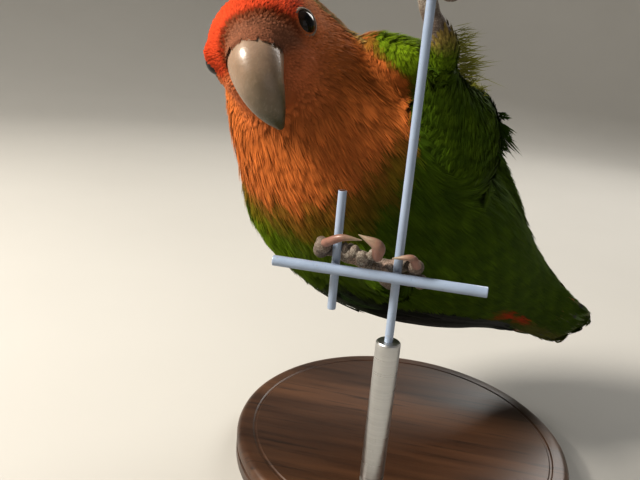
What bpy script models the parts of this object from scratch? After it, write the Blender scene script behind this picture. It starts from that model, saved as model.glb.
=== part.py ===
"""Peach faced lovebird, life size, clinging to a short piece of welded wire on a display stand.

Lengths in the tables are millimetres. The frame is Z up with its origin at the centre of the
stand's underside. The bird faces -Y, belly towards -Y, head at -X and tail at +X.
"""

import functools
import math

import bmesh
import bpy
import numpy as np
from mathutils import Matrix, Vector

MM = 0.001
GAP = 0.3
HALF_GAP = 0.5 * GAP
ROOM = 0.34
MOST_EVEN_OUT = 2.2
SMOOTH_ANGLE = math.radians(50)

# Stand and perch
BASE_RADIUS = 41.0
BASE_HEIGHT = 7.0
BASE_BEVEL = 1.2
BASE_SIDES = 40
ROD_RADIUS = 2.5
ROD_BEVEL = 0.4
ROD_SIDES = 12
WIRE_PITCH = 12.0
CROSS_WIRE_RADIUS = 1.05
UPRIGHT_WIRE_RADIUS = 0.85
WIRE_BEVEL = 0.3
WIRE_SIDES = 10
WIRE_PLANE_Y = -30.0
PERCH_HEIGHT = 58.0
UPRIGHT_X = -4.0
STUB_X = UPRIGHT_X - WIRE_PITCH
CROSS_WIRE_SPAN = (-28.0, 13.0)
UPRIGHT_TOP = PERCH_HEIGHT + 66.0
UPRIGHT_BOTTOM = PERCH_HEIGHT - 26.0
STUB_SPAN = (PERCH_HEIGHT - 9.0, PERCH_HEIGHT + 15.0)
ROD_TOP = PERCH_HEIGHT - 14.0
CROSS_WIRE_Y = WIRE_PLANE_Y - CROSS_WIRE_RADIUS
UPRIGHT_Y = WIRE_PLANE_Y + UPRIGHT_WIRE_RADIUS + GAP

# Trunk: centre, half width across the body, half depth from belly to back
TRUNK_STATIONS = (
    ((-38.5, -4.0, 99.5), 12.5, 14.0),
    ((-35.0, 0.0, 92.5), 16.5, 16.5),
    ((-30.5, 2.0, 84.0), 20.0, 19.8),
    ((-23.0, 4.5, 73.5), 24.0, 22.8),
    ((-12.5, 9.0, 63.0), 25.8, 23.6),
    ((0.0, 16.0, 52.8), 24.4, 20.6),
    ((13.0, 24.5, 43.3), 18.7, 14.2),
    ((24.8, 32.5, 36.0), 12.4, 8.0),
    ((34.6, 39.6, 29.4), 10.0, 4.0),
    ((45.6, 48.0, 22.1), 8.8, 1.9),
)
BELLY_DIRECTION = (-0.05, -1.0, -0.25)
NECK_CUT = 1.4
TAIL_CUT = 7.75
SPINE_STEPS = 40
TRUNK_RINGS = 42
TRUNK_SIDES = 36
TRUNK_CAP_TURNS = (30, 60)
TRUNK_CAP_REACH = 0.8
TAIL_CAP_REACH = 1.5
HALF_SPACE = 300.0
FLESH_VOXEL = 1.15
FLESH_SMOOTHING = 6
FLESH_TRIANGLES = 1500

# Head, on the middle of the line between the eyes: forward, left and up
HEAD_CENTRE = (-37.9, -14.0, 97.3)
HEAD_FORWARD = (0.085, -0.988, -0.13)
HEAD_LEFT = (0.887, 0.016, 0.463)
HEAD_FORMS = (
    ((-4.4, 0.0, -0.4), (13.2, 12.8, 11.6)),
    ((1.2, 0.0, -4.6), (9.2, 9.9, 8.6)),
    ((1.2, 0.0, 1.6), (8.4, 9.9, 7.6)),
    ((-7.0, 0.0, -6.5), (10.5, 11.6, 10.0)),
)
HEAD_CUT_CENTRE = (-3.4, 0.0, -1.0)
HEAD_CUT_RADII = (14.6, 14.4, 14.9)
HEAD_RINGS = 16
HEAD_SIDES = 24
HEAD_CUT_RINGS = 9
HEAD_CUT_SIDES = 14
EYE_RADIUS = 3.0
EYE_PLACE = (0.6, 9.5, 0.6)
EYE_RINGS = 7
EYE_SIDES = 10

# Bill: centre forward and up, half height and half width of each section
UPPER_BILL = (
    ((4.0, -1.2), 5.3, 5.6),
    ((9.6, -2.4), 5.2, 5.4),
    ((12.4, -5.6), 4.3, 4.6),
    ((13.2, -9.2), 3.0, 3.5),
    ((12.9, -12.4), 1.8, 2.1),
    ((12.2, -14.9), 0.7, 0.75),
)
LOWER_BILL = (
    ((1.5, -8.0), 3.2, 4.6),
    ((5.6, -9.6), 3.3, 4.3),
    ((8.4, -10.8), 2.6, 3.5),
    ((10.0, -11.3), 1.2, 2.1),
)

BILL_UPPER_RINGS = 9
BILL_UPPER_SIDES = 12
BILL_LOWER_RINGS = 5
BILL_LOWER_SIDES = 10
BILL_TIP_REACH = 0.6

# Wings on the trunk's surface: station, angles of the leading and rear edge, leading edge's lift
RIGHT_WING = (
    (2.3, 148, 190, 0.5),
    (3.0, 140, 214, 2.0),
    (4.0, 130, 234, 1.2),
    (5.0, 122, 244, 0.4),
    (6.0, 119, 250, 0.2),
    (7.0, 128, 255, 0.3),
    (7.7, 152, 256, 0.7),
    (8.3, 190, 248, 0.9),
)
LEFT_WING = (
    (1.0, 4, -30, 7.4),
    (1.9, 8, -48, 9.8),
    (3.0, 2, -62, 8.0),
    (4.0, -5, -72, 3.6),
    (5.0, -10, -79, 2.4),
    (6.0, -13, -83, 1.0),
    (7.0, -17, -85, 0.6),
    (7.7, -28, -83, 0.8),
    (8.3, -44, -76, 0.9),
)
WING_CUT = 4.6
WING_DEPTH = 1.65
WING_RISE = 1.1
WING_EDGE_DEPTH = 0.6
WING_EDGE_RISE = 0.25
WING_BEND_SHARE = 0.14
WING_LEAST_ROUND = 0.2
WING_RINGS = 15
WING_RING_CROWDING = 1.3
WING_ACROSS = 6

# Legs: points from the hip or thigh out to the foot, with a radius at each
LEFT_THIGH = (((2.0, 1.5, 76.5), 11.8), ((2.4, -5.5, 84.5), 10.6), ((-0.4, -14.8, 91.6), 4.8),
              ((-1.2, -20.8, 97.4), 2.9))
RIGHT_THIGH = (((-12.5, 0.5, 56.5), 10.5), ((-8.5, -9.0, 53.5), 7.8), ((-4.6, -14.6, 50.6), 4.2))
LEFT_SHANK = (((-1.2, -20.2, 96.0), 2.2), ((-1.0, -22.2, 100.4), 2.3), ((-4.2, -24.0, 106.0), 1.8),
              ((-6.2, -25.4, 112.4), 2.0))
RIGHT_SHANK = (((-4.2, -13.4, 50.8), 2.0), ((-5.9, -17.6, 52.6), 2.0), ((-8.0, -21.4, 55.4), 1.75),
               ((-9.6, -24.8, 57.6), 1.9))

# Toes, each a path of points; its claw follows from the last one
RIGHT_SOLE = ((-9.6, -25.6, 57.6), 2.3)
RIGHT_TOES = (
    ((-9.6, -25.4, 57.8), (-14.4, -25.3, 59.2), (-18.2, -26.1, 60.4), (-19.1, -28.6, 61.4),
     (-18.3, -31.0, 62.5)),
    ((-9.6, -25.6, 58.2), (-11.8, -26.2, 60.0), (-13.6, -28.2, 62.0), (-11.0, -30.2, 61.3),
     (-8.6, -30.8, 61.2)),
    ((-9.6, -25.6, 57.4), (-7.2, -25.9, 58.4), (-3.6, -26.2, 59.2), (-1.2, -27.7, 59.9),
     (-0.5, -29.9, 60.4)),
    ((-9.6, -25.4, 57.0), (-7.2, -24.6, 56.4), (-4.4, -24.3, 56.1), (-1.8, -24.9, 56.1),
     (0.6, -26.4, 56.4)),
)
RIGHT_CLAWS = (
    ((-17.7, -32.1, 63.4), (-14.6, -33.5, 65.2), (-10.9, -33.6, 65.3)),
    ((-7.9, -31.3, 61.9), (-8.0, -32.6, 64.4), (-11.6, -32.7, 66.0)),
    ((-0.5, -31.1, 61.2), (-1.6, -32.6, 62.9), (-4.9, -32.9, 62.5)),
    ((1.8, -27.2, 56.7), (4.0, -28.1, 56.9), (6.3, -28.5, 57.0)),
)
LEFT_SOLE = ((-6.2, -25.5, 113.2), 2.3)
LEFT_TOES = (
    ((-6.2, -25.5, 113.4), (-7.3, -26.6, 115.6), (-7.3, -29.2, 116.9), (-5.2, -31.3, 117.3)),
    ((-6.2, -25.5, 113.0), (-7.4, -26.9, 112.5), (-7.3, -29.3, 111.9), (-5.2, -31.3, 111.6)),
    ((-6.2, -25.5, 113.6), (-2.6, -25.3, 115.0), (-0.8, -27.6, 114.6), (-1.2, -30.2, 114.4)),
    ((-6.2, -25.5, 112.6), (-3.2, -25.2, 111.4), (-0.8, -27.2, 109.6), (-1.1, -30.2, 109.2)),
)
LEFT_CLAWS = (
    ((-4.1, -32.1, 117.4), (-1.8, -32.6, 117.7), (0.3, -30.8, 117.9)),
    ((-4.1, -32.1, 111.6), (-1.8, -32.7, 111.7), (0.4, -31.0, 112.0)),
    ((-2.0, -31.3, 114.4), (-4.3, -32.6, 114.4), (-6.9, -31.3, 114.3)),
    ((-1.9, -31.3, 109.2), (-4.2, -32.6, 109.1), (-6.8, -31.3, 109.0)),
)
TOE_RADIUS = 1.68
TOE_TIP_RADIUS = 1.5
TOE_PAD_SWELL = 0.08
TOE_PADS = 4
TOE_RINGS = 22
TOE_SIDES = 10
SOLE_RINGS = 8
SOLE_SIDES = 12
CLAW_RADII = (0.98, 0.8, 0.3)
WIDE_CLAW_RADII = (1.05, 1.3, 0.3)
WIDE_CLAWS = ("claw_right_2",)
CLAW_RINGS = 4
CLAW_SIDES = 6
SHANK_RINGS = 5
SHANK_SIDES = 8
THIGH_RINGS = 6
THIGH_SIDES = 12
TUBE_CAP_TURNS = (35, 65)
FOOT_VOXEL = 0.42
FOOT_SMOOTHING = 3
FOOT_TRIANGLES = 380

FINISHES = {
    "peach": ((0.86, 0.30, 0.12), 0.85, 0.0),
    "green": ((0.16, 0.34, 0.04), 0.85, 0.0),
    "dark_green": ((0.04, 0.10, 0.03), 0.75, 0.0),
    "tail_green": ((0.10, 0.24, 0.06), 0.80, 0.0),
    "horn": ((0.62, 0.55, 0.42), 0.40, 0.0),
    "eye": ((0.01, 0.01, 0.01), 0.05, 0.0),
    "scaly_skin": ((0.50, 0.46, 0.41), 0.70, 0.0),
    "claw": ((0.52, 0.36, 0.31), 0.40, 0.0),
    "coated_wire": ((0.56, 0.63, 0.74), 0.35, 0.0),
    "steel": ((0.60, 0.60, 0.60), 0.30, 1.0),
    "dark_wood": ((0.10, 0.05, 0.03), 0.45, 0.0),
}


def clear_scene():
    for old in list(bpy.data.objects):
        bpy.data.objects.remove(old, do_unlink=True)


def finish(name):
    """The Principled material of one finish, made once."""
    made = bpy.data.materials.get(name)
    if made:
        return made
    colour, roughness, metallic = FINISHES[name]
    made = bpy.data.materials.new(name)
    made.use_nodes = True
    shader = made.node_tree.nodes["Principled BSDF"]
    shader.inputs["Base Color"].default_value = (*colour, 1.0)
    shader.inputs["Roughness"].default_value = roughness
    shader.inputs["Metallic"].default_value = metallic
    return made


def unit(vector):
    vector = np.asarray(vector, float)
    return vector / np.linalg.norm(vector)


def smooth_rows(rows, count):
    """Catmull-Rom curve through rows of numbers, read at count even parameters."""
    rows = np.asarray(rows, float)
    last = len(rows) - 1
    padded = np.vstack([2 * rows[0] - rows[1], rows, 2 * rows[-1] - rows[-2]])
    out = []
    for place in np.linspace(0, last, count):
        i = min(int(place), last - 1)
        t = place - i
        a, b, c, d = padded[i:i + 4]
        out.append(0.5 * (2 * b + (c - a) * t + (2 * a - 5 * b + 4 * c - d) * t**2
                          + (3 * b - a - 3 * c + d) * t**3))
    return np.array(out)


def new_object(name, points, faces, look):
    """An object from points in millimetres, as triangles that face outwards."""
    mesh = bpy.data.meshes.new(name)
    mesh.from_pydata([tuple(float(x) * MM for x in point) for point in points], [], faces)
    work = bmesh.new()
    work.from_mesh(mesh)
    bmesh.ops.recalc_face_normals(work, faces=work.faces)
    bmesh.ops.triangulate(work, faces=work.faces, quad_method="SHORT_EDGE")
    work.to_mesh(mesh)
    work.free()
    mesh.materials.append(finish(look))
    made = bpy.data.objects.new(name, mesh)
    bpy.context.collection.objects.link(made)
    return made


def rings_to_mesh(rings, start, end):
    """Points and faces of a closed skin over rings, with a pole at each end."""
    count, sides = len(rings), len(rings[0])
    points = [start, *[point for ring in rings for point in ring], end]
    faces = []
    for j in range(sides):
        k = (j + 1) % sides
        faces.append((0, 1 + j, 1 + k))
        for i in range(count - 1):
            a = 1 + i * sides
            b = a + sides
            faces.append((a + j, b + j, b + k, a + k))
        a = 1 + (count - 1) * sides
        faces.append((len(points) - 1, a + k, a + j))
    return points, faces


@functools.cache
def trunk_curve():
    """Centre, half width and half depth along the spine, SPINE_STEPS rows to a station."""
    table = [(*centre, width, depth) for centre, width, depth in TRUNK_STATIONS]
    return smooth_rows(table, (len(table) - 1) * SPINE_STEPS + 1)


@functools.cache
def trunk_frame(station):
    """Centre, axis, belly direction, left direction, half width and half depth at a station."""
    curve = trunk_curve()
    final = len(curve) - 1
    place = min(max(station * SPINE_STEPS, 0.0), final)
    i = min(int(place), final - 1)
    here = curve[i] + (curve[i + 1] - curve[i]) * (place - i)
    low, high = max(i - SPINE_STEPS // 2, 0), min(i + SPINE_STEPS // 2, final)
    axis = unit(curve[high][:3] - curve[low][:3])
    belly = unit(np.array(BELLY_DIRECTION) - np.dot(BELLY_DIRECTION, axis) * axis)
    return here[:3], axis, belly, np.cross(belly, axis), here[3], here[4]


def trunk_point(station, degrees, lift):
    """A point on the trunk's surface, lifted; 0 is the bird's left side and 90 its belly."""
    centre, _, belly, left, width, depth = trunk_frame(station)
    angle = math.radians(degrees)
    return centre + math.cos(angle) * (width + lift) * left + math.sin(angle) * (depth + lift) * belly


def trunk_mesh():
    """Rings of the trunk with a round cap over the neck end and a short one over the tail's tip."""
    last = len(TRUNK_STATIONS) - 1
    angles = [360 * j / TRUNK_SIDES for j in range(TRUNK_SIDES)]
    rings = [[trunk_point(station, angle, 0) for angle in angles]
             for station in np.linspace(0, last, TRUNK_RINGS)]
    first, final = trunk_frame(0), trunk_frame(last)
    reach = -TRUNK_CAP_REACH * first[5] * first[1]
    caps = []
    for turn in map(math.radians, reversed(TRUNK_CAP_TURNS)):
        caps.append([first[0] + reach * math.sin(turn) + (point - first[0]) * math.cos(turn)
                     for point in rings[0]])
    return rings_to_mesh(caps + rings, first[0] + reach, final[0] + final[1] * TAIL_CAP_REACH)


def head_axes():
    forward = unit(HEAD_FORWARD)
    left = unit(np.array(HEAD_LEFT) - np.dot(HEAD_LEFT, forward) * forward)
    return forward, left, np.cross(forward, left)


def head_point(forward, left, up):
    axes = head_axes()
    return np.array(HEAD_CENTRE) + forward * axes[0] + left * axes[1] + up * axes[2]


def ellipsoid(centre, axes, radii, rings, sides):
    """Points and faces of an ellipsoid on three given axes, with poles on the third."""
    rows = []
    for i in range(1, rings):
        polar = math.pi * i / rings
        row = []
        for j in range(sides):
            turn = 2 * math.pi * j / sides
            local = (math.sin(polar) * math.cos(turn), math.sin(polar) * math.sin(turn), math.cos(polar))
            row.append(centre + sum(r * x * axis for r, x, axis in zip(radii, local, axes)))
        rows.append(row)
    return rings_to_mesh(rows, centre + radii[2] * axes[2], centre - radii[2] * axes[2])


def head_ellipsoid(centre, radii, rings, sides):
    return ellipsoid(head_point(*centre), head_axes(), radii, rings, sides)


def tube(path, radii, rings, sides, swell=0.0, waves=0):
    """A round-ended tube on a smooth path; swell and waves bulge it into pads."""
    rows = smooth_rows([(*point, radius) for point, radius in zip(path, radii)], rings)
    points, sizes = rows[:, :3], rows[:, 3]
    tangents = np.gradient(points, axis=0)
    side = unit(np.cross(tangents[0], (0.31, 0.17, 0.93)))
    out = []
    for i in range(rings):
        along = unit(tangents[i])
        side = unit(side - np.dot(side, along) * along)
        other = np.cross(along, side)
        pad = 1 + swell * math.cos(2 * math.pi * waves * i / (rings - 1))
        out.append([points[i] + sizes[i] * pad * (math.cos(a) * side + math.sin(a) * other)
                    for a in (2 * math.pi * j / sides for j in range(sides))])
    start, end = out[0], out[-1]
    start_reach, end_reach = -sizes[0] * unit(tangents[0]), sizes[-1] * unit(tangents[-1])
    for turn in map(math.radians, TUBE_CAP_TURNS):
        shrink, reach = math.cos(turn), math.sin(turn)
        out.insert(0, [points[0] + start_reach * reach + (p - points[0]) * shrink for p in start])
        out.append([points[-1] + end_reach * reach + (p - points[-1]) * shrink for p in end])
    return rings_to_mesh(out, points[0] + start_reach, points[-1] + end_reach)


def bill_mesh(sections, rings, sides):
    """A hooked loft in the head's middle plane from its base to its tip."""
    rows = smooth_rows([(*centre, high, wide) for centre, high, wide in sections], rings)
    forward, left, up = head_axes()
    tangents = np.gradient(rows[:, :2], axis=0)
    out = []
    for (ahead, rise, high, wide), (run, climb) in zip(rows, tangents):
        length = math.hypot(run, climb)
        outward = (-climb / length) * forward + (run / length) * up
        centre = head_point(ahead, 0, rise)
        out.append([centre + high * math.sin(a) * outward + wide * math.cos(a) * left
                    for a in (2 * math.pi * j / sides for j in range(sides))])
    first, final = np.mean(out[0], axis=0), np.mean(out[-1], axis=0)
    reach = BILL_TIP_REACH * rows[-1][2] * unit(final - np.mean(out[-2], axis=0))
    return rings_to_mesh(out, first, final + reach)


def wing_mesh(table):
    """A blade over the trunk's side from the bend of the wing to its tip."""
    table = np.array(table, float)
    first, last = table[0, 0], table[-1, 0]
    out = []
    for step in np.linspace(0, 1, WING_RINGS):
        share = step ** WING_RING_CROWDING
        station = first + share * (last - first)
        lead = np.interp(station, table[:, 0], table[:, 1])
        rear = np.interp(station, table[:, 0], table[:, 2])
        lift = np.interp(station, table[:, 0], table[:, 3])
        before_bend = max(0.0, 1 - share / WING_BEND_SHARE)
        round_off = max(WING_LEAST_ROUND, math.sqrt(1 - before_bend**2))
        middle = (lead + rear) / 2
        lead = middle + (lead - middle) * round_off
        rear = middle + (rear - middle) * round_off
        outer, inner = [], []
        for i in range(WING_ACROSS + 1):
            place = i / WING_ACROSS
            angle = lead + (rear - lead) * place
            crown = math.sqrt(max(0.0, 1 - (2 * place - 1)**2))
            rise = WING_EDGE_RISE + (WING_RISE - WING_EDGE_RISE) * crown + lift * (1 - place) ** 0.5
            sink = WING_EDGE_DEPTH + (WING_DEPTH - WING_EDGE_DEPTH) * crown
            outer.append(trunk_point(station, angle, rise * round_off))
            inner.append(trunk_point(station, angle, -sink))
        out.append(outer + inner[::-1])
    return rings_to_mesh(out, np.mean(out[0], axis=0), np.mean(out[-1], axis=0))


def baked(target):
    """Applies an object's modifiers to a mesh of its own."""
    depsgraph = bpy.context.evaluated_depsgraph_get()
    mesh = bpy.data.meshes.new_from_object(target.evaluated_get(depsgraph))
    target.modifiers.clear()
    target.data = mesh
    return target


def largest_body(target):
    """Cutting may leave crumbs: only the largest connected body stays."""
    work = bmesh.new()
    work.from_mesh(target.data)
    left, bodies = set(work.verts), []
    while left:
        stack, body = [next(iter(left))], set()
        while stack:
            vert = stack.pop()
            if vert in left:
                left.discard(vert)
                body.add(vert)
                stack.extend(edge.other_vert(vert) for edge in vert.link_edges)
        bodies.append(body)
    bodies.sort(key=len)
    crumbs = [vert for body in bodies[:-1] for vert in body]
    bmesh.ops.delete(work, geom=crumbs, context="VERTS")
    work.to_mesh(target.data)
    work.free()
    return target


def boolean(target, cutter, operation):
    step = target.modifiers.new(operation.lower(), "BOOLEAN")
    step.operation = operation
    step.solver = "EXACT"
    step.object = cutter
    return baked(target)


def copy_of(source, name):
    made = bpy.data.objects.new(name, source.data.copy())
    bpy.context.collection.objects.link(made)
    return made


def guide(made):
    made.hide_render = True
    made.display_type = "WIRE"
    return made


def grown(source, by=ROOM):
    """The room round a solid: a cutter with the solid's faces moved outwards by an even amount."""
    made = guide(copy_of(source, f"room_{source.name}"))
    work = bmesh.new()
    work.from_mesh(made.data)
    work.normal_update()
    moves = [vert.normal * by * MM * min(vert.calc_shell_factor(), MOST_EVEN_OUT) for vert in work.verts]
    for vert, move in zip(work.verts, moves):
        vert.co += move
    work.to_mesh(made.data)
    work.free()
    return made


def carve(target, rooms):
    """Cuts a pocket with each room, so that what lies there keeps a gap all round."""
    for room in rooms:
        boolean(target, room, "DIFFERENCE")
    return largest_body(target)


def fused(name, meshes, look, voxel, passes, triangles):
    """Joins closed shapes into one smooth skin of about so many triangles."""
    points, faces = [], []
    for more_points, more_faces in meshes:
        offset = len(points)
        points.extend(more_points)
        faces.extend(tuple(i + offset for i in face) for face in more_faces)
    made = new_object(name, points, faces, look)
    remesh = made.modifiers.new("fuse", "REMESH")
    remesh.mode = "VOXEL"
    remesh.voxel_size = voxel * MM
    remesh.use_smooth_shade = True
    smooth = made.modifiers.new("smooth", "SMOOTH")
    smooth.factor = 0.5
    smooth.iterations = passes
    baked(made)
    reduce_mesh = made.modifiers.new("reduce", "DECIMATE")
    reduce_mesh.ratio = min(1.0, triangles / (2 * len(made.data.polygons)))
    baked(made)
    made.data.materials.clear()
    made.data.materials.append(finish(look))
    return largest_body(made)


def parted(source, name, look, point, normal, keep_ahead):
    """The part of a solid on one side of a plane."""
    work = bmesh.new()
    bmesh.ops.create_cube(work, size=HALF_SPACE * MM)
    turn = Vector((0, 0, 1)).rotation_difference(Vector(tuple(normal))).to_matrix().to_4x4()
    reach = -HALF_SPACE / 2 if keep_ahead else HALF_SPACE / 2
    place = Matrix.Translation(Vector(tuple((point + reach * normal) * MM)))
    bmesh.ops.transform(work, verts=work.verts, matrix=place @ turn)
    mesh = bpy.data.meshes.new(f"beyond_{name}")
    work.to_mesh(mesh)
    work.free()
    beyond = guide(bpy.data.objects.new(f"beyond_{name}", mesh))
    bpy.context.collection.objects.link(beyond)
    made = boolean(copy_of(source, name), beyond, "DIFFERENCE")
    made.data.materials.clear()
    made.data.materials.append(finish(look))
    return largest_body(made)


def shade(target):
    target.data.shade_smooth()
    target.data.set_sharp_from_angle(angle=SMOOTH_ANGLE)


def round_bar(name, radius, low, high, look, bevel, sides):
    """A straight round bar between two points, its ends bevelled."""
    low, high = np.array(low, float), np.array(high, float)
    work = bmesh.new()
    bmesh.ops.create_cone(work, cap_ends=True, segments=sides, radius1=radius * MM, radius2=radius * MM,
                          depth=float(np.linalg.norm(high - low)) * MM)
    rims = [edge for edge in work.edges if abs(edge.verts[0].co.z - edge.verts[1].co.z) < 1e-9]
    bmesh.ops.bevel(work, geom=rims, offset=bevel * MM, segments=1, profile=0.5, affect="EDGES")
    turn = Vector((0, 0, 1)).rotation_difference(Vector(tuple(high - low))).to_matrix().to_4x4()
    place = Matrix.Translation(Vector(tuple((low + high) / 2 * MM)))
    bmesh.ops.transform(work, verts=work.verts, matrix=place @ turn)
    mesh = bpy.data.meshes.new(name)
    work.to_mesh(mesh)
    work.free()
    mesh.materials.append(finish(look))
    made = bpy.data.objects.new(name, mesh)
    bpy.context.collection.objects.link(made)
    return made


def build_stand():
    """The base and the rod that holds the upright wire; the rod is returned."""
    round_bar("stand_base", BASE_RADIUS, (0, 0, 0), (0, 0, BASE_HEIGHT), "dark_wood", BASE_BEVEL, BASE_SIDES)
    return round_bar("stand_rod", ROD_RADIUS, (UPRIGHT_X, UPRIGHT_Y, BASE_HEIGHT + GAP),
                     (UPRIGHT_X, UPRIGHT_Y, ROD_TOP), "steel", ROD_BEVEL, ROD_SIDES)


def upright_wire(name, x, low, high):
    return round_bar(name, UPRIGHT_WIRE_RADIUS, (x, UPRIGHT_Y, low), (x, UPRIGHT_Y, high),
                     "coated_wire", WIRE_BEVEL, WIRE_SIDES)


def build_perch():
    """The cross wire with the upright and a stub of the next upright behind it."""
    left, right = CROSS_WIRE_SPAN
    cross = round_bar("perch_cross_wire", CROSS_WIRE_RADIUS, (left, CROSS_WIRE_Y, PERCH_HEIGHT),
                      (right, CROSS_WIRE_Y, PERCH_HEIGHT), "coated_wire", WIRE_BEVEL, WIRE_SIDES)
    upright = upright_wire("perch_upright_wire", UPRIGHT_X, UPRIGHT_BOTTOM, UPRIGHT_TOP)
    stub = upright_wire("perch_stub_wire", STUB_X, *STUB_SPAN)
    return cross, upright, stub


def build_foot(side, sole, toes):
    """One foot: a fleshy sole with its toes."""
    centre, radius = sole
    shapes = [ellipsoid(np.array(centre), np.eye(3), (radius,) * 3, SOLE_RINGS, SOLE_SIDES)]
    for path in toes:
        radii = [TOE_RADIUS] * (len(path) - 1) + [TOE_TIP_RADIUS]
        shapes.append(tube(path, radii, TOE_RINGS, TOE_SIDES, TOE_PAD_SWELL, TOE_PADS))
    return fused(f"foot_{side}", shapes, "scaly_skin", FOOT_VOXEL, FOOT_SMOOTHING, FOOT_TRIANGLES)


def build_claws(side, paths):
    made = []
    for number, path in enumerate(paths, 1):
        name = f"claw_{side}_{number}"
        radii = WIDE_CLAW_RADII if name in WIDE_CLAWS else CLAW_RADII
        made.append(new_object(name, *tube(path, radii, CLAW_RINGS, CLAW_SIDES), "claw"))
    return made


def build_limb(name, look, path, rings, sides):
    points = [point for point, _ in path]
    radii = [radius for _, radius in path]
    return new_object(name, *tube(points, radii, rings, sides), look)


def build_eye(side, sign):
    ahead, out, up = EYE_PLACE
    shape = head_ellipsoid((ahead, sign * out, up), (EYE_RADIUS,) * 3, EYE_RINGS, EYE_SIDES)
    return new_object(f"eye_{side}", *shape, "eye")


def build_head_pieces():
    """Eyes and bill, and the rooms round them."""
    eyes = [build_eye("left", 1), build_eye("right", -1)]
    upper = new_object("bill_upper", *bill_mesh(UPPER_BILL, BILL_UPPER_RINGS, BILL_UPPER_SIDES), "horn")
    lower = new_object("bill_lower", *bill_mesh(LOWER_BILL, BILL_LOWER_RINGS, BILL_LOWER_SIDES), "horn")
    rooms = [grown(made) for made in (*eyes, upper, lower)]
    carve(lower, rooms[2:3])
    return rooms


def build_legs(wire_rooms):
    """Thighs, shanks, feet and claws of both sides, and the rooms round the thighs."""
    thigh_rooms = []
    for side, thigh_path, shank_path, sole, toes, nails in (
            ("left", LEFT_THIGH, LEFT_SHANK, LEFT_SOLE, LEFT_TOES, LEFT_CLAWS),
            ("right", RIGHT_THIGH, RIGHT_SHANK, RIGHT_SOLE, RIGHT_TOES, RIGHT_CLAWS)):
        shank_room = grown(build_limb(f"shank_{side}", "scaly_skin", shank_path, SHANK_RINGS, SHANK_SIDES))
        claw_rooms = [grown(claw) for claw in build_claws(side, nails)]
        carve(build_foot(side, sole, toes), [*wire_rooms, shank_room, *claw_rooms])
        thigh = build_limb(f"thigh_{side}", "green", thigh_path, THIGH_RINGS, THIGH_SIDES)
        thigh_rooms.append(grown(thigh))
        carve(thigh, [shank_room])
    return thigh_rooms


def build_wings(thigh_rooms):
    """Each wing parted into its arm and its primaries, and the rooms round the whole wings."""
    rooms = []
    for side, table in (("left", LEFT_WING), ("right", RIGHT_WING)):
        whole = guide(new_object(f"whole_wing_{side}", *wing_mesh(table), "green"))
        rooms.append(grown(whole))
        carve(whole, thigh_rooms)
        at, axis = trunk_frame(WING_CUT)[:2]
        parted(whole, f"wing_{side}", "green", at - HALF_GAP * axis, axis, False)
        parted(whole, f"primaries_{side}", "dark_green", at + HALF_GAP * axis, axis, True)
    return rooms


def build_body(rooms):
    """Head, neck, trunk and tail: one skin, carved for what lies on it and parted by thin cuts."""
    shapes = [head_ellipsoid(centre, radii, HEAD_RINGS, HEAD_SIDES) for centre, radii in HEAD_FORMS]
    flesh = guide(fused("flesh", [trunk_mesh(), *shapes], "green", FLESH_VOXEL, FLESH_SMOOTHING,
                        FLESH_TRIANGLES))
    carve(flesh, rooms)

    cutter = head_ellipsoid(HEAD_CUT_CENTRE, HEAD_CUT_RADII, HEAD_CUT_RINGS, HEAD_CUT_SIDES)
    inside = guide(new_object("head_cutter", *cutter, "peach"))
    largest_body(boolean(copy_of(flesh, "head"), inside, "INTERSECT"))
    below = guide(copy_of(flesh, "below_head"))
    largest_body(boolean(below, grown(inside, GAP), "DIFFERENCE"))

    neck_at, neck_axis = trunk_frame(NECK_CUT)[:2]
    tail_at, tail_axis = trunk_frame(TAIL_CUT)[:2]
    parted(below, "neck", "peach", neck_at - HALF_GAP * neck_axis, neck_axis, False)
    rest = guide(parted(below, "below_neck", "green", neck_at + HALF_GAP * neck_axis, neck_axis, True))
    parted(rest, "trunk", "green", tail_at - HALF_GAP * tail_axis, tail_axis, False)
    parted(rest, "tail", "tail_green", tail_at + HALF_GAP * tail_axis, tail_axis, True)


def main():
    clear_scene()
    rod = build_stand()
    wire_rooms = [grown(wire) for wire in build_perch()]
    carve(rod, wire_rooms[1:2])
    head_rooms = build_head_pieces()
    thigh_rooms = build_legs(wire_rooms)
    wing_rooms = build_wings(thigh_rooms)
    build_body([*wing_rooms, *thigh_rooms, *head_rooms])
    for made in bpy.data.objects:
        shade(made)


main()
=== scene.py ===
"""Looks of a peach faced lovebird that clings to a short piece of welded wire on a display stand.

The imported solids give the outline. One skin replaces the flesh and lies a coat's depth inside it, and
a coat of feathers lies on the skin, each feather a fan of thin barbs. Lengths are millimetres until a
mesh is made. The bird's belly and face are towards -Y, its head is at -X and its tail at +X.
"""

import functools
import math
from types import SimpleNamespace

import bpy
import numpy as np
from mathutils import Matrix, Vector, noise
from mathutils.bvhtree import BVHTree
from mathutils.kdtree import KDTree


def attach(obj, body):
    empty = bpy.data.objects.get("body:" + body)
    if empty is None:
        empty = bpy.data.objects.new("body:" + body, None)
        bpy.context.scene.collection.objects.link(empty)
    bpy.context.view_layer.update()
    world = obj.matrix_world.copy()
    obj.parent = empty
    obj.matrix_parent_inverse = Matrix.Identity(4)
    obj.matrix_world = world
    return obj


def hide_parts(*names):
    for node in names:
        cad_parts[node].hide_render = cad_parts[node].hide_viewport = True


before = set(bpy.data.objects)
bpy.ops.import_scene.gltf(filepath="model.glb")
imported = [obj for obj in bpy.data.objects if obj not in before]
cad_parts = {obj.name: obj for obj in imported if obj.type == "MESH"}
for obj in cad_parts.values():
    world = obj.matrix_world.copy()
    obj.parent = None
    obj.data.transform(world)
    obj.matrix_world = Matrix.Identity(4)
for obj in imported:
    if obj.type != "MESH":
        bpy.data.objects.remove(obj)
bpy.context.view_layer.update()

MM = 0.001
RANDOM = np.random.default_rng(20)

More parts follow.
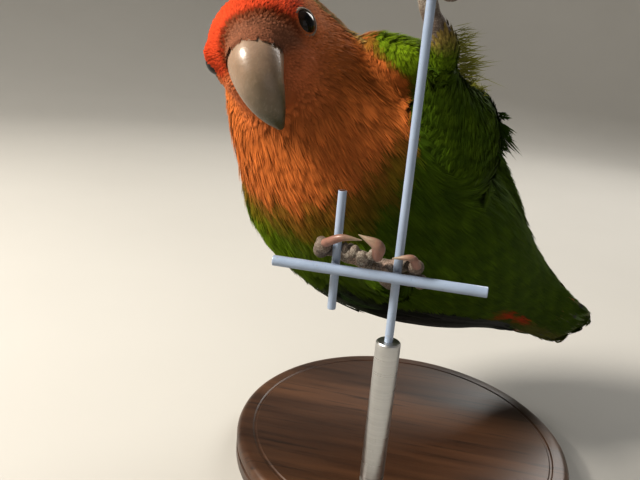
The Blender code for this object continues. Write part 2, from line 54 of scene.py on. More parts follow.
# Camera: its place and the directions of the picture's right and up
CAMERA_PLACE = (3.15, -150.24, 100.79)
CAMERA_RIGHT = (0.9745, 0.2081, 0.0838)
CAMERA_UP = (-0.14, 0.2724, 0.9519)
CAMERA_LENS = 37.6
CAMERA_SENSOR = 36.0

# Body: centre, half width across and half depth from belly to back at each station
TRUNK_STATIONS = (
    ((-38.5, -4.0, 99.5), 12.5, 14.0),
    ((-35.0, 0.0, 92.5), 16.5, 16.5),
    ((-30.5, 2.0, 84.0), 20.0, 19.8),
    ((-23.0, 4.5, 73.5), 24.0, 22.8),
    ((-12.5, 9.0, 63.0), 25.8, 23.6),
    ((0.0, 16.0, 52.8), 24.4, 20.6),
    ((13.0, 24.5, 43.3), 18.7, 14.2),
    ((24.8, 32.5, 36.0), 12.4, 8.0),
    ((34.6, 39.6, 29.4), 10.0, 4.0),
    ((45.6, 48.0, 22.1), 8.8, 1.9),
)
BELLY_DIRECTION = (-0.05, -1.0, -0.25)
SPINE_STEPS = 40

# Head, on the middle of the line between the eyes: forward, left and up
HEAD_CENTRE = (-37.9, -14.0, 97.3)
HEAD_FORWARD = (0.085, -0.988, -0.13)
HEAD_LEFT = (0.887, 0.016, 0.463)
BILL_ROOT = (7.5, 0.0, -3.0)

# Skin
FLESH = ("head", "neck", "trunk", "tail", "wing_left", "wing_right", "primaries_left",
         "primaries_right", "thigh_left", "thigh_right")
LIMBS = ("thigh_left", "thigh_right", "wing_left", "wing_right", "primaries_left", "primaries_right")
HARD = ("eye_left", "eye_right", "bill_upper", "bill_lower")
SKIN_VOXEL = 0.85
CLOSING = 0.2
SKIN_SMOOTHING = 5
REGION_SMOOTHING = 14
FLOW_SMOOTHING = 30

# Coat depth, feather length, half width and spacing by region
COAT = {
    "head": (0.52, 2.2, 0.50, 0.52),
    "neck": (0.85, 4.2, 0.80, 0.84),
    "trunk": (1.20, 7.6, 1.75, 1.55),
    "tail": (0.70, 8.5, 1.70, 1.60),
    "wing_left": (1.00, 7.5, 2.30, 1.80),
    "wing_right": (1.00, 7.5, 2.30, 1.80),
    "primaries_left": (0.45, 8.0, 2.00, 2.20),
    "primaries_right": (0.45, 8.0, 2.00, 2.20),
    "thigh_left": (0.95, 5.6, 1.10, 1.15),
    "thigh_right": (0.95, 5.6, 1.10, 1.15),
}
BARE_DEPTH = 0.30
BARE_REACH = 1.3
SKIN_INSET = 0.8

# Head markings in head axes: the pale patch round the bill's base and the brow that hangs over the far eye
# The wider half towards the bird's left is partly painted shade: the darker patch colour reaches further there, beside
# the bill
PATCH_ACROSS = (5.9, 8.8)
PATCH_RISE = 7.3
PATCH_DROP = 1.0
BROW_PAD = (2.8, -9.2, 2.9)
BROW_PAD_HEIGHT = 1.4
BROW_PAD_REACH = 2.1

# The bib's two edges beside the left shoulder: a plane's direction and its distance
NECK_PLANE = ((0.516, 0.0724, 0.8536), 76.6)
FLANK_PLANE = ((0.9961, 0.0701, 0.0541), -4.2)


def unit(vectors):
    vectors = np.asarray(vectors, float)
    return vectors / np.maximum(np.linalg.norm(vectors, axis=-1, keepdims=True), 1e-12)


def smoothstep(low, high, values):
    share = np.clip((values - low) / (high - low), 0.0, 1.0)
    return share * share * (3 - 2 * share)


def dot(a, b):
    return np.sum(a * b, axis=-1)


def smooth_rows(rows, count):
    """Catmull-Rom curve through rows of numbers, read at count even parameters."""
    rows = np.asarray(rows, float)
    last = len(rows) - 1
    padded = np.vstack([2 * rows[0] - rows[1], rows, 2 * rows[-1] - rows[-2]])
    places = np.linspace(0, last, count)
    i = np.minimum(places.astype(int), last - 1)
    t = (places - i)[:, None]
    a, b, c, d = (padded[i + k] for k in range(4))
    return 0.5 * (2 * b + (c - a) * t + (2 * a - 5 * b + 4 * c - d) * t**2 + (3 * b - a - 3 * c + d) * t**3)


@functools.cache
def spine():
    """Rows along the body's middle line with the axis, belly and left directions of each."""
    rows = smooth_rows([(*centre, width, depth) for centre, width, depth in TRUNK_STATIONS],
                       (len(TRUNK_STATIONS) - 1) * SPINE_STEPS + 1)
    axis = unit(np.gradient(rows[:, :3], axis=0))
    belly = np.array(BELLY_DIRECTION)
    belly = unit(belly - dot(axis, belly)[:, None] * axis)
    return SimpleNamespace(centre=rows[:, :3], width=rows[:, 3], depth=rows[:, 4], axis=axis, belly=belly,
                           left=np.cross(belly, axis))


def body_place(points):
    """Station along the body and degrees round it; 0 is the bird's left, 90 its belly, -90 its back."""
    line = spine()
    nearest = np.empty(len(points), int)
    for start in range(0, len(points), 4000):
        part = points[start:start + 4000]
        gaps = ((part[:, None] - line.centre[None, ::4]) ** 2).sum(-1)
        nearest[start:start + 4000] = 4 * gaps.argmin(1)
    away = points - line.centre[nearest]
    left = dot(away, line.left[nearest]) / line.width[nearest]
    belly = dot(away, line.belly[nearest]) / line.depth[nearest]
    return nearest / SPINE_STEPS, np.degrees(np.arctan2(belly, left))


def spine_row(station):
    return int(round(min(max(station, 0.0), len(TRUNK_STATIONS) - 1) * SPINE_STEPS))


@functools.cache
def head_axes():
    forward = unit(HEAD_FORWARD)
    left = unit(np.array(HEAD_LEFT) - np.dot(HEAD_LEFT, forward) * forward)
    return np.array([forward, left, np.cross(forward, left)])


def head_point(forward, left, up):
    return np.array(HEAD_CENTRE) + np.array([forward, left, up]) @ head_axes()


def head_place(points):
    """Forward, left and up of points on the head's own axes."""
    return (points - np.array(HEAD_CENTRE)) @ head_axes().T


def share_of(regions, *names):
    return regions[:, [FLESH.index(name) for name in names]].sum(1)


def face_ring(points):
    """Distance from the bill's base; 1 is the edge of the pale patch."""
    _, across, rise = head_place(points).T
    wide = np.interp(across, (-3.0, 5.0), PATCH_ACROSS)
    return np.hypot(across / wide, (rise + PATCH_DROP) / PATCH_RISE)


def fold_relief(points, regions):
    """Height of the fold round the pale patch and of the left wing's full bend."""
    ahead, _, rise = head_place(points).T
    station, _ = body_place(points)
    ring = face_ring(points)
    fold = 0.35 * np.exp(-((ring - 1.18) / 0.14) ** 2) - 0.22 * np.exp(-((ring - 0.98) / 0.08) ** 2)
    fold = fold * smoothstep(-2.5, 0.5, rise) * smoothstep(-3, 0, ahead) * share_of(regions, "head")
    return fold + 1.7 * share_of(regions, "wing_left") * smoothstep(2.9, 2.1, station)


def brow_relief(points):
    """Height of the brow that hangs over the right eye."""
    pad = np.linalg.norm(head_place(points) - BROW_PAD, axis=1)
    return BROW_PAD_HEIGHT * np.exp(-(pad / BROW_PAD_REACH) ** 2)


def over_bill(points):
    """Share of the bill's top that the patch's shortest feathers cover."""
    ahead, across, rise = head_place(points).T
    edge = ahead - OVER_BILL_SLOPE * rise - OVER_BILL_SKEW * np.maximum(across, 0)
    return smoothstep(8.8, 7.8, edge) * smoothstep(-1.8, 0.2, rise) * smoothstep(6.6, 5.8, np.abs(across))


def bend_share(points, regions):
    """Where the left wing's small coverts lie, round its bend."""
    return share_of(regions, "wing_left") * smoothstep(3.6, 2.8, body_place(points)[0])


def belly_side(points):
    """Share of the left flank that lies before the folded wing's lead edge."""
    station, degrees = body_place(points)
    table = np.array(LEFT_WING, float)
    lead = np.interp(station, table[:, 0], table[:, 1])
    return smoothstep(lead - 3, lead + 2, degrees) * smoothstep(110, 90, np.abs(degrees))


def wing_share(points):
    """Where the right wing's folded flight feathers show below the belly."""
    station, degrees = body_place(points)
    table = np.array(RIGHT_WING, float)
    lead = np.interp(station, table[:, 0], table[:, 1])
    turn = np.mod(degrees, 360)
    along = smoothstep(3.85, 4.15, station) * smoothstep(8.2, 7.6, station)
    return smoothstep(lead - 2, lead + 2, turn) * smoothstep(165, 150, turn) * along


def markings(points, regions):
    """Nine shares at points: bib, brow, face; rump, paler green with painted light on the lit belly side and wing bend,
    ember; flight dark, painted shade in the fold round the pale patch, neck edge.
    """
    station, degrees = body_place(points)
    ahead, across, rise = head_place(points).T
    wave = 0.5 * np.sin(points @ (0.9, 0.5, 0.4)) + 0.5 * np.sin(points @ (-0.5, 0.8, -0.9) + 1.3)
    limbs = share_of(regions, *LIMBS)
    turn = np.radians(degrees - 78)
    bib_end = 3.0 - 0.92 * (1 - np.cos(turn)) - 1.2 * np.maximum(0, -np.cos(turn))
    bib_end = bib_end - 0.35 * smoothstep(48, 18, degrees)
    nape = ahead + 13.5 - 0.75 * np.clip(rise, 0, 12) + 0.5 * wave
    bib = smoothstep(0.42, -0.42, station - bib_end + 0.07 * wave) * smoothstep(-1.6, 1.6, nape)
    bib = bib * smoothstep(0.55, 0.25, limbs)
    beyond = np.maximum(points @ NECK_PLANE[0] - NECK_PLANE[1], points @ FLANK_PLANE[0] - FLANK_PLANE[1])
    front = smoothstep(1.0, -1.0, beyond + 0.3 * wave) * smoothstep(-40, -26, degrees) * smoothstep(75, 45, degrees)
    front = front * smoothstep(3.25, 2.45, station) * smoothstep(0.6, 0.3, share_of(regions, "thigh_left"))
    bib = np.maximum(bib, front)
    ring = face_ring(points) + 0.03 * wave
    brow_low = -3.0 + 0.5 * np.clip(4 - ahead, 0, 14) + 3.2 * smoothstep(2, 7, across)
    brow = bib * smoothstep(0, 2.5, rise - brow_low + 0.3 * wave) * smoothstep(0.98, 1.06, ring)
    # Painted shade: a dark band in the fold just inside the pale patch's edge
    painted_crease_shade = bib * smoothstep(-2.5, 0.5, rise) * smoothstep(-3, 0, ahead) * np.exp(-((ring - 1.0) / 0.08) ** 2)
    cheek = smoothstep(17, 8, np.linalg.norm(head_place(points) - (4.0, 0.0, 0.0), axis=1))
    patch = smoothstep(1.05, 0.85, ring) * smoothstep(-4, -1, rise)
    face = bib * (0.6 * cheek + 0.4 * patch) * (1 - brow)
    on_back = smoothstep(0.55, 0.95, -np.sin(np.radians(degrees)))
    rump = on_back * smoothstep(5.5, 6.1, station) * smoothstep(8.0, 7.3, station)
    # Painted light: the belly's side from 60 to 135 degrees and the left wing's bend get a paler green, on top of the
    # belly's own paler green
    lit = smoothstep(60, 135, degrees) * smoothstep(4.2, 2.6, station)
    painted_light_on_wing_bend = share_of(regions, "wing_left") * smoothstep(3.0, 1.6, station)
    leaf_and_painted_light = np.clip(0.22 + 0.55 * lit + 0.7 * painted_light_on_wing_bend + 0.10 * wave, 0, 1)
    ember_line = np.interp(station, (6.0, 6.6, 7.2), (88, 96, 108))
    ember = smoothstep(0.8, 0.3, np.abs(station - 6.7)) * smoothstep(8, 2, np.abs(degrees - ember_line))
    dark = share_of(regions, "primaries_left", "primaries_right")
    halo = np.exp(-((nape - 1.0) / 1.6) ** 2) * smoothstep(0.55, 0.25, limbs) * smoothstep(3.0, 2.0, station)
    halo = np.maximum(halo, 0.30 * smoothstep(98, 118, degrees) * smoothstep(6.9, 7.5, station))
    return np.stack([bib, brow, face, rump, leaf_and_painted_light, ember, dark, painted_crease_shade, halo], axis=1)


def mesh_object(name, points, faces, materials):
    """A smooth object from points in millimetres and an array of faces with equal corner counts."""
    mesh = bpy.data.meshes.new(name)
    mesh.vertices.add(len(points))
    mesh.vertices.foreach_set("co", np.ascontiguousarray(points * MM, np.float32).ravel())
    mesh.loops.add(faces.size)
    mesh.loops.foreach_set("vertex_index", np.ascontiguousarray(faces, np.int32).ravel())
    mesh.polygons.add(len(faces))
    mesh.polygons.foreach_set("loop_start", np.arange(0, faces.size, faces.shape[1], dtype=np.int32))
    mesh.update(calc_edges=True)
    mesh.shade_smooth()
    for material in materials:
        mesh.materials.append(material)
    made = bpy.data.objects.new(name, mesh)
    bpy.context.scene.collection.objects.link(made)
    return made


def piece(made, slot, *nodes):
    """Attaches a piece to the still body and hides the solids it stands for; its finish (slot) is not used."""
    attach(made, "root")
    if nodes:
        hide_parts(*nodes)
    return made


def add_attribute(mesh, name, values):
    """A float or vector for each vertex."""
    kind, key = ("FLOAT", "value") if values.ndim == 1 else ("FLOAT_VECTOR", "vector")
    mesh.attributes.new(name, kind, "POINT").data.foreach_set(key, np.ascontiguousarray(values, np.float32).ravel())


def points_of(mesh):
    points = np.empty(len(mesh.vertices) * 3, np.float32)
    mesh.vertices.foreach_get("co", points)
    return points.reshape(-1, 3).astype(float) / MM


def triangles_of(mesh):
    mesh.calc_loop_triangles()
    triangles = np.empty(len(mesh.loop_triangles) * 3, np.int32)
    mesh.loop_triangles.foreach_get("vertices", triangles)
    return triangles.reshape(-1, 3)


def vertex_normals(points, triangles):
    across = np.cross(points[triangles[:, 1]] - points[triangles[:, 0]],
                      points[triangles[:, 2]] - points[triangles[:, 0]])
    total = np.zeros_like(points)
    for corner in range(3):
        for axis in range(3):
            total[:, axis] += np.bincount(triangles[:, corner], across[:, axis], len(points))
    return unit(total)


def node_mesh(name):
    """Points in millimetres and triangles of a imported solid, its corners joined."""
    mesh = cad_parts[name].data
    points, triangles = points_of(mesh), triangles_of(mesh)
    _, first, joined = np.unique(np.round(points, 3), axis=0, return_index=True, return_inverse=True)
    return points[first], joined.reshape(-1)[triangles]


def gathered(meshes):
    """Several meshes as one, and the number of the mesh that each triangle comes from."""
    points, triangles, source, offset = [], [], [], 0
    for number, (more_points, more_triangles) in enumerate(meshes):
        points.append(more_points)
        triangles.append(more_triangles + offset)
        source.append(np.full(len(more_triangles), number))
        offset += len(more_points)
    return np.vstack(points), np.vstack(triangles), np.concatenate(source)


def tree_of(points, faces):
    return BVHTree.FromPolygons(points.tolist(), faces.tolist())


def spread(values, edges, passes, share=0.5):
    """Smooths a value per vertex along the edges."""
    values = np.array(values, float)
    count = len(values)
    degree = np.bincount(edges.ravel(), minlength=count)[:, None]
    for _ in range(passes):
        total = np.stack([np.bincount(edges[:, 0], values[edges[:, 1], k], count)
                          + np.bincount(edges[:, 1], values[edges[:, 0], k], count)
                          for k in range(values.shape[1])], axis=1)
        values += share * (total / degree - values)
    return values


def remeshed(points, triangles, voxel, passes, name):
    """Closes meshes into one skin of even quads and smooths it."""
    rough = mesh_object(name, points, triangles, [])
    step = rough.modifiers.new("fuse", "REMESH")
    step.mode = "VOXEL"
    step.voxel_size = voxel * MM
    mesh = bpy.data.meshes.new_from_object(rough.evaluated_get(bpy.context.evaluated_depsgraph_get()))
    bpy.data.objects.remove(rough)
    points = points_of(mesh)
    quads = np.array([tuple(face.vertices) for face in mesh.polygons])
    edges = np.array([tuple(edge.vertices) for edge in mesh.edges])
    bpy.data.meshes.remove(mesh)
    return spread(points, edges, passes), quads, edges


def both_triangles(quads):
    return np.vstack([quads[:, [0, 1, 2]], quads[:, [0, 2, 3]]])


def region_flow(points, regions):
    """The lie of the feathers: away from the bill, along the body and down each thigh."""
    line = spine()
    station, _ = body_place(points)
    along = line.axis[np.round(station * SPINE_STEPS).astype(int)]
    flow = along.copy()
    from_bill = unit(points - head_point(*BILL_ROOT))
    on_head = regions[:, [FLESH.index("head")]]
    flow = unit(flow * (1 - on_head) + (0.8 * from_bill + 0.35 * along) * on_head)
    for side in ("left", "right"):
        share = regions[:, [FLESH.index(f"thigh_{side}")]]
        flow = flow * (1 - share) + THIGH_FLOW[side] * share
    return unit(flow)


def round_eyes(points, flow):
    """Turns the feathers beside each eye so that they pass round it."""
    ahead, out, rise = EYE_SIT
    for sign in (1, -1):
        towards = head_point(ahead, sign * out, rise) - points
        near = np.linalg.norm(towards, axis=1, keepdims=True)
        towards = unit(towards)
        inward = np.clip(dot(flow, towards), 0, 1)[:, None]
        flow = unit(flow - 1.15 * inward * towards * smoothstep(8.0, 4.5, near))
    return flow


THIGH_FLOW = {"left": unit((0.02, -0.72, 0.66)), "right": unit((0.40, -0.78, -0.30))}


def build_skin(material):
    """The skin over all the flesh, and what the coat needs to know about it."""
    solids = []
    for name in FLESH + HARD:
        points, triangles = node_mesh(name)
        solids.append((points + CLOSING * vertex_normals(points, triangles), triangles))
    points, triangles, _ = gathered(solids)
    points, quads, edges = remeshed(points, triangles, SKIN_VOXEL, SKIN_SMOOTHING, "rough")

    flesh_points, flesh_triangles, source = gathered([node_mesh(name) for name in FLESH])
    flesh_tree = tree_of(flesh_points, flesh_triangles)
    labels = source[[flesh_tree.find_nearest(Vector(point))[2] for point in points]]
    regions = spread(np.eye(len(FLESH))[labels], edges, REGION_SMOOTHING)
    folded = wing_share(points)[:, None]
    regions = regions * (1 - folded) + folded * np.eye(len(FLESH))[FLESH.index("primaries_right")]
    moved = share_of(regions, "primaries_left") * belly_side(points)
    regions[:, FLESH.index("primaries_left")] -= moved
    regions[:, FLESH.index("trunk")] += moved

    normals = spread(vertex_normals(points, both_triangles(quads)), edges, 3)
    hard_points, hard_triangles, _ = gathered([node_mesh(name) for name in HARD])
    hard_tree = tree_of(hard_points, hard_triangles)
    to_hard = np.array([hard_tree.find_nearest(Vector(point))[3] for point in points])
    bare = smoothstep(BARE_REACH, 0.2, to_hard)
    depth = regions @ np.array([COAT[name][0] for name in FLESH])
    depth = depth * (1 - bare) + BARE_DEPTH * bare
    inset = SKIN_INSET * depth + CLOSING - fold_relief(points, regions) * (1 - bare) - brow_relief(points)
    over = over_bill(points) * bare
    inset = inset * (1 - over) - OVER_BILL_RISE * over
    points = points - unit(normals) * inset[:, None]
    points = spread(points, edges, 2, 0.3)
    normals = unit(spread(vertex_normals(points, both_triangles(quads)), edges, 2))

    flow = round_eyes(points, spread(region_flow(points, regions), edges, FLOW_SMOOTHING))
    flow = unit(flow - dot(flow, normals)[:, None] * normals)
    made = mesh_object("bird_skin", points, quads, [material])
    unwrap(made)
    add_marks(made.data, markings(points, regions))
    add_attribute(made.data, "tone", np.full(len(points), 0.5))
    # A quarter along gives the skin the roots' painted shade, so that gaps in the coat read dark
    add_attribute(made.data, "along", np.full(len(points), 0.25))
    piece(made, "green", *FLESH)
    return SimpleNamespace(object=made, points=points, quads=quads, normals=normals, flow=flow,
                           regions=regions, size=1 - 0.55 * bend_share(points, regions), depth=depth, tree=tree_of(points, quads), hard=hard_tree,
                           uv=loop_places(made), flight=share_of(regions, "primaries_left", "primaries_right"))


OVER_BILL_RISE = 0.5


def unwrap(made):
    """Unfolds the skin by its own shape into the map that the coat shares."""
    made.data.uv_layers.new(name="OFBake")
    bpy.ops.object.select_all(action="DESELECT")
    bpy.context.view_layer.objects.active = made
    made.select_set(True)
    bpy.ops.object.mode_set(mode="EDIT")
    bpy.ops.mesh.select_all(action="SELECT")
    bpy.ops.uv.smart_project(angle_limit=math.radians(66), island_margin=0.003)
    bpy.ops.object.mode_set(mode="OBJECT")


def loop_places(made):
    """The map's place of each face corner."""
    places = np.empty(len(made.data.loops) * 2, np.float32)
    made.data.uv_layers["OFBake"].uv.foreach_get("vector", places)
    return places.reshape(-1, 4, 2)


MARK_SETS = ("head_marks", "body_marks", "edge_marks")


def add_marks(mesh, marks):
    for number, name in enumerate(MARK_SETS):
        add_attribute(mesh, name, marks[:, 3 * number:3 * number + 3])


def scatter(skin):
    """Roots of the feathers: a triangle of the skin with a place in it, spaced as each region asks."""
    triangles = both_triangles(skin.quads)
    spacing = skin.regions @ np.array([COAT[name][3] for name in FLESH]) * skin.size
    corners = skin.points[triangles]
    areas = 0.5 * np.linalg.norm(np.cross(corners[:, 1] - corners[:, 0], corners[:, 2] - corners[:, 0]), axis=1)
    want = areas / spacing[triangles].mean(1) ** 2
    chosen = RANDOM.choice(len(triangles), int(want.sum() * CANDIDATES), p=want / want.sum())
    a, b = RANDOM.random((2, len(chosen)))
    flip = a + b > 1
    a, b = np.where(flip, 1 - a, a), np.where(flip, 1 - b, b)
    shares = np.stack([1 - a - b, a, b], axis=1)
    places = (skin.points[triangles[chosen]] * shares[:, :, None]).sum(1)
    reach = (spacing[triangles[chosen]] * shares).sum(1) * 0.8
    grid = KDTree(len(places))
    for number, place in enumerate(places):
        grid.insert(place, number)
    grid.balance()
    free, kept = np.ones(len(places), bool), []
    for number in range(len(places)):
        if free[number]:
            kept.append(number)
            free[[hit[1] for hit in grid.find_range(places[number], reach[number])]] = False
    return chosen[kept], shares[kept]


CANDIDATES = 4


def build_coat(skin, material):
    """Every contour feather, in pieces by region."""
    triangles = both_triangles(skin.quads)
    chosen, shares = scatter(skin)
    corners = triangles[chosen]

    def at_root(values):
        return (values[corners] * shares[:, :, None]).sum(1)

    places = at_root(skin.points)
    regions = at_root(skin.regions)
    hits = [skin.hard.find_nearest(Vector(place)) for place in places]
    to_hard = np.array([hit[3] for hit in hits])
    outside = np.array([(Vector(place) - hit[0]).dot(hit[1]) for place, hit in zip(places, hits)])
    clear = (outside > 0) & (to_hard > 0.25)
    sizes = regions @ np.array([COAT[name] for name in FLESH]) * at_root(skin.size[:, None])
    near_hard = smoothstep(4.5, 0.3, to_hard)
    flow = unit(at_root(skin.flow))
    ends = places + flow * sizes[:, 1:2]
    end_faces = [skin.tree.find_nearest(Vector(end))[2] for end in ends]
    end_flight = skin.flight[skin.quads[end_faces]].mean(1)
    clear &= (share_of(regions, "primaries_left", "primaries_right") < 0.5) | (body_place(places)[0] < COVERT_END)
    length = sizes[:, 1] * (1 - 0.62 * near_hard) * RANDOM.uniform(0.85, 1.15, len(places))
    length = length * (1 - 0.6 * smoothstep(0.25, 0.75, end_flight))
    length, seen = round_opening(places, flow, length)
    wide = sizes[:, 2] * (1 - 0.5 * near_hard) * RANDOM.uniform(0.9, 1.1, len(places))
    rise = at_root(skin.depth[:, None])[:, 0] * RANDOM.uniform(0.75, 1.2, len(places))
    patch = smoothstep(1.1, 0.9, face_ring(places)) * share_of(regions, "head") * (head_place(places)[:, 2] > -1)
    length = length * (1 - 0.35 * patch)
    rise = rise * (1 - 0.45 * patch)
    loops = np.vstack([skin.uv[:, [0, 1, 2]], skin.uv[:, [0, 2, 3]]])[chosen]
    root_uv = (loops * shares[:, :, None]).sum(1)
    keep = clear & seen
    feathers = SimpleNamespace(
        place=places[keep], normal=unit(at_root(skin.normals))[keep], flow=flow[keep], length=length[keep],
        wide=wide[keep], uv=root_uv[keep], rise=rise[keep], marks=markings(places, regions)[keep], tip=None)
    groups = {
        "head": (("head",), "peach", 7),
        "neck": (("neck",), "peach", 11),
        "trunk": (("trunk",), "green", 21),
        "tail": (("tail",), "tail_green", 17),
        "wings": (("wing_left", "wing_right", "primaries_left", "primaries_right"), "green", 21),
        "thighs": (("thigh_left", "thigh_right"), "green", 13),
    }
    best = regions[keep].argmax(1)
    for group, (names, slot, barbs) in groups.items():
        members = np.flatnonzero(np.isin(best, [FLESH.index(name) for name in names]))
        most = PIECE_TRIANGLES // (3 * barbs)
        for number, start in enumerate(range(0, len(members), most), 1):
            picked = members[start:start + most]
            build_feathers(f"coat_{group}_{number}", skin, feathers, picked, barbs, slot, material)


def build_fringe(skin, material):
    """The pale patch's shortest feathers, which lie forward over the bill's top."""
    across = RANDOM.uniform(-FRINGE_HALF_WIDTH, FRINGE_HALF_WIDTH, FRINGE_FEATHERS)
    edge = FRINGE_EDGE + OVER_BILL_SKEW * np.maximum(across, 0) + RANDOM.uniform(-1.3, 0.1, FRINGE_FEATHERS)
    slope = np.array([OVER_BILL_SLOPE, 0.0, 1.0])
    rays = [head_point(*(slope * FRINGE_ABOVE + (start, aside, 0.0))) for start, aside in zip(edge, across)]
    hits = [skin.hard.ray_cast(Vector(ray), Vector(-slope @ head_axes())) for ray in rays]
    hits = [hit for hit in hits if hit[0] is not None]
    surface, normal = (np.array([tuple(hit[k]) for hit in hits]) for k in (0, 1))
    normal = normal * np.sign(dot(normal, surface - head_point(*BILL_ROOT)))[:, None]
    towards = unit(head_point(*BILL_FRONT) - surface)
    flow = unit(towards - dot(towards, normal)[:, None] * normal)
    length = RANDOM.uniform(0.6, 1.5, len(surface))
    ends = [skin.hard.find_nearest(Vector(end)) for end in surface + flow * length[:, None]]
    faces = [skin.tree.find_nearest(Vector(place))[2] for place in surface]
    head = np.eye(len(FLESH))[np.zeros(len(surface), int)]
    feathers = SimpleNamespace(
        place=surface + FRINGE_LIFT * normal, normal=normal, flow=flow, length=length,
        tip=np.array([tuple(end[0] + end[1] * FRINGE_LIFT) for end in ends]),
        wide=RANDOM.uniform(0.16, 0.30, len(surface)), uv=skin.uv[faces].mean(1),
        rise=RANDOM.uniform(0.0, 0.15, len(surface)), marks=markings(surface, head))
    build_feathers("coat_fringe", skin, feathers, np.arange(len(surface)), 7, "peach", material)


FRINGE_FEATHERS = 640
FRINGE_HALF_WIDTH = 5.6
FRINGE_EDGE = 8.4
FRINGE_ABOVE = 7.0
FRINGE_LIFT = 0.66
BILL_FRONT = (14.0, 0.0, -7.0)
OVER_BILL_SLOPE = 0.94
OVER_BILL_SKEW = 0.30
PIECE_TRIANGLES = 190_000
COVERT_END = 4.7
EYE_OPENING = 3.2


def round_opening(places, flow, length):
    """Ends the feathers before the left eye's opening, and tells which roots lie outside it."""
    towards = head_point(*EYE_SIT) - places
    ahead = dot(towards, flow)
    miss = np.sqrt(np.maximum((towards ** 2).sum(1) - ahead ** 2, 0))
    stop = ahead - np.sqrt(np.maximum(EYE_OPENING ** 2 - miss ** 2, 0))
    crossing = (miss < EYE_OPENING) & (ahead > 0)
    return (np.where(crossing, np.minimum(length, np.maximum(stop, 0.5)), length),
            np.linalg.norm(towards, axis=1) > EYE_OPENING)


def build_feathers(name, skin, feathers, picked, barbs, slot, material):
    """One joined mesh of feathers: each barb is a thin strip that leaves the shaft and tapers to its tip."""
    place, normal, flow = feathers.place[picked], feathers.normal[picked], feathers.flow[picked]
    length, wide, rise = feathers.length[picked], feathers.wide[picked], feathers.rise[picked]
    count = len(picked)
    if feathers.tip is None:
        hits = [skin.tree.find_nearest(Vector(point)) for point in place + flow * length[:, None]]
        tip = np.array([hit[0] for hit in hits])
        tip_normal = unit(skin.normals[skin.quads[[hit[2] for hit in hits]]].mean(1))
    else:
        tip, tip_normal = feathers.tip[picked], normal
    chord = tip - place
    reach = np.linalg.norm(chord, axis=1, keepdims=True)

    fan = np.linspace(-1, 1, barbs)[None] + RANDOM.normal(0, 0.35 / barbs, (count, barbs))
    side = np.sign(fan)
    fan = np.clip(np.abs(fan), 0, 1)
    start_along = 0.03 + 0.40 * (1 - fan)
    start_across = 0.10 * fan * side
    angle = np.radians(FAN_DEGREES) * fan
    end_along = 0.48 + 0.52 * np.cos(angle) + RANDOM.normal(0, 0.05, (count, barbs))
    end_across = (np.sin(angle) + RANDOM.normal(0, 0.06, (count, barbs))) * side
    mid_along = start_along + 0.50 * (end_along - start_along)
    mid_across = start_across + 0.74 * (end_across - start_across)
    coarse = np.minimum(wide / 0.9, 1)[:, None]
    lift = RANDOM.normal(0, 0.10, (count, barbs)) * coarse
    strip = STRIP_SHARE * wide[:, None] / barbs

    def on_feather(along, across, aside):
        """A point at a share of the length and of the half width, moved aside along the strip's width."""
        share = along[..., None]
        centre = place[:, None] + chord[:, None] * share + (flow * reach - chord)[:, None] * (share - share**2)
        out = unit(normal[:, None] * (1 - share) + tip_normal[:, None] * share)
        ahead = unit(chord[:, None] + (flow * reach - chord)[:, None] * (1 - 2 * share))
        sideways = unit(np.cross(out, ahead))
        height = -0.12 + (rise[:, None] + 0.12) * np.clip(along, 0, 1) ** 0.8 + lift * along
        height = height - 0.16 * wide[:, None] * across**2
        width = across * wide[:, None]
        return centre + out * height[..., None] + sideways * (width + aside)[..., None], out, sideways

    rows = []
    for along, across, share in ((start_along, start_across, 0.8), (mid_along, mid_across, 1.0)):
        for hand in (-1, 1):
            rows.append(on_feather(along, across, hand * strip * share)[0])
    rows.append(on_feather(end_along, end_across, 0 * strip)[0])
    points = np.stack(rows, axis=2).reshape(-1, 3)
    _, out, sideways = on_feather(mid_along, mid_across, 0 * strip)
    roll = (RANDOM.normal(0, ROLL, (count, barbs)) + 0.25 * side * fan) * (0.4 + 0.6 * coarse)
    shading = unit(out + sideways * roll[..., None])
    first = 5 * np.arange(count * barbs)[:, None]
    faces = (first[:, None] + np.array([(0, 3, 1), (0, 2, 3), (2, 4, 3)])[None]).reshape(-1, 3)
    made = mesh_object(name, points, faces, [material])

    add_marks(made.data, np.repeat(feathers.marks[picked], barbs * 5, axis=0))
    tone = RANDOM.normal(0, 0.10, (count, 1)) + RANDOM.normal(0, 0.12, (count, barbs))
    tone = 0.5 + tone * (0.5 + 0.5 * coarse)
    add_attribute(made.data, "tone", np.repeat(np.clip(tone, 0, 1).ravel(), 5))
    along = np.stack([start_along, start_along, mid_along, mid_along, end_along], axis=2)
    add_attribute(made.data, "along", along.ravel())
    across = np.stack([start_across, start_across, mid_across, mid_across, end_across], axis=2)
    patch = PATCH * np.stack([across.ravel() / 2, along.ravel() - 0.5], axis=1)
    uv = np.repeat(feathers.uv[picked], barbs * 5, axis=0) + patch
    made.data.uv_layers.new(name="OFBake").uv.foreach_set("vector", uv[faces.ravel()].astype(np.float32).ravel())
    made.data.normals_split_custom_set_from_vertices(np.repeat(shading.reshape(-1, 3), 5, axis=0).tolist())
    return piece(made, slot)


FAN_DEGREES = 82
STRIP_SHARE = 1.9
ROLL = 0.28
PATCH = 0.003


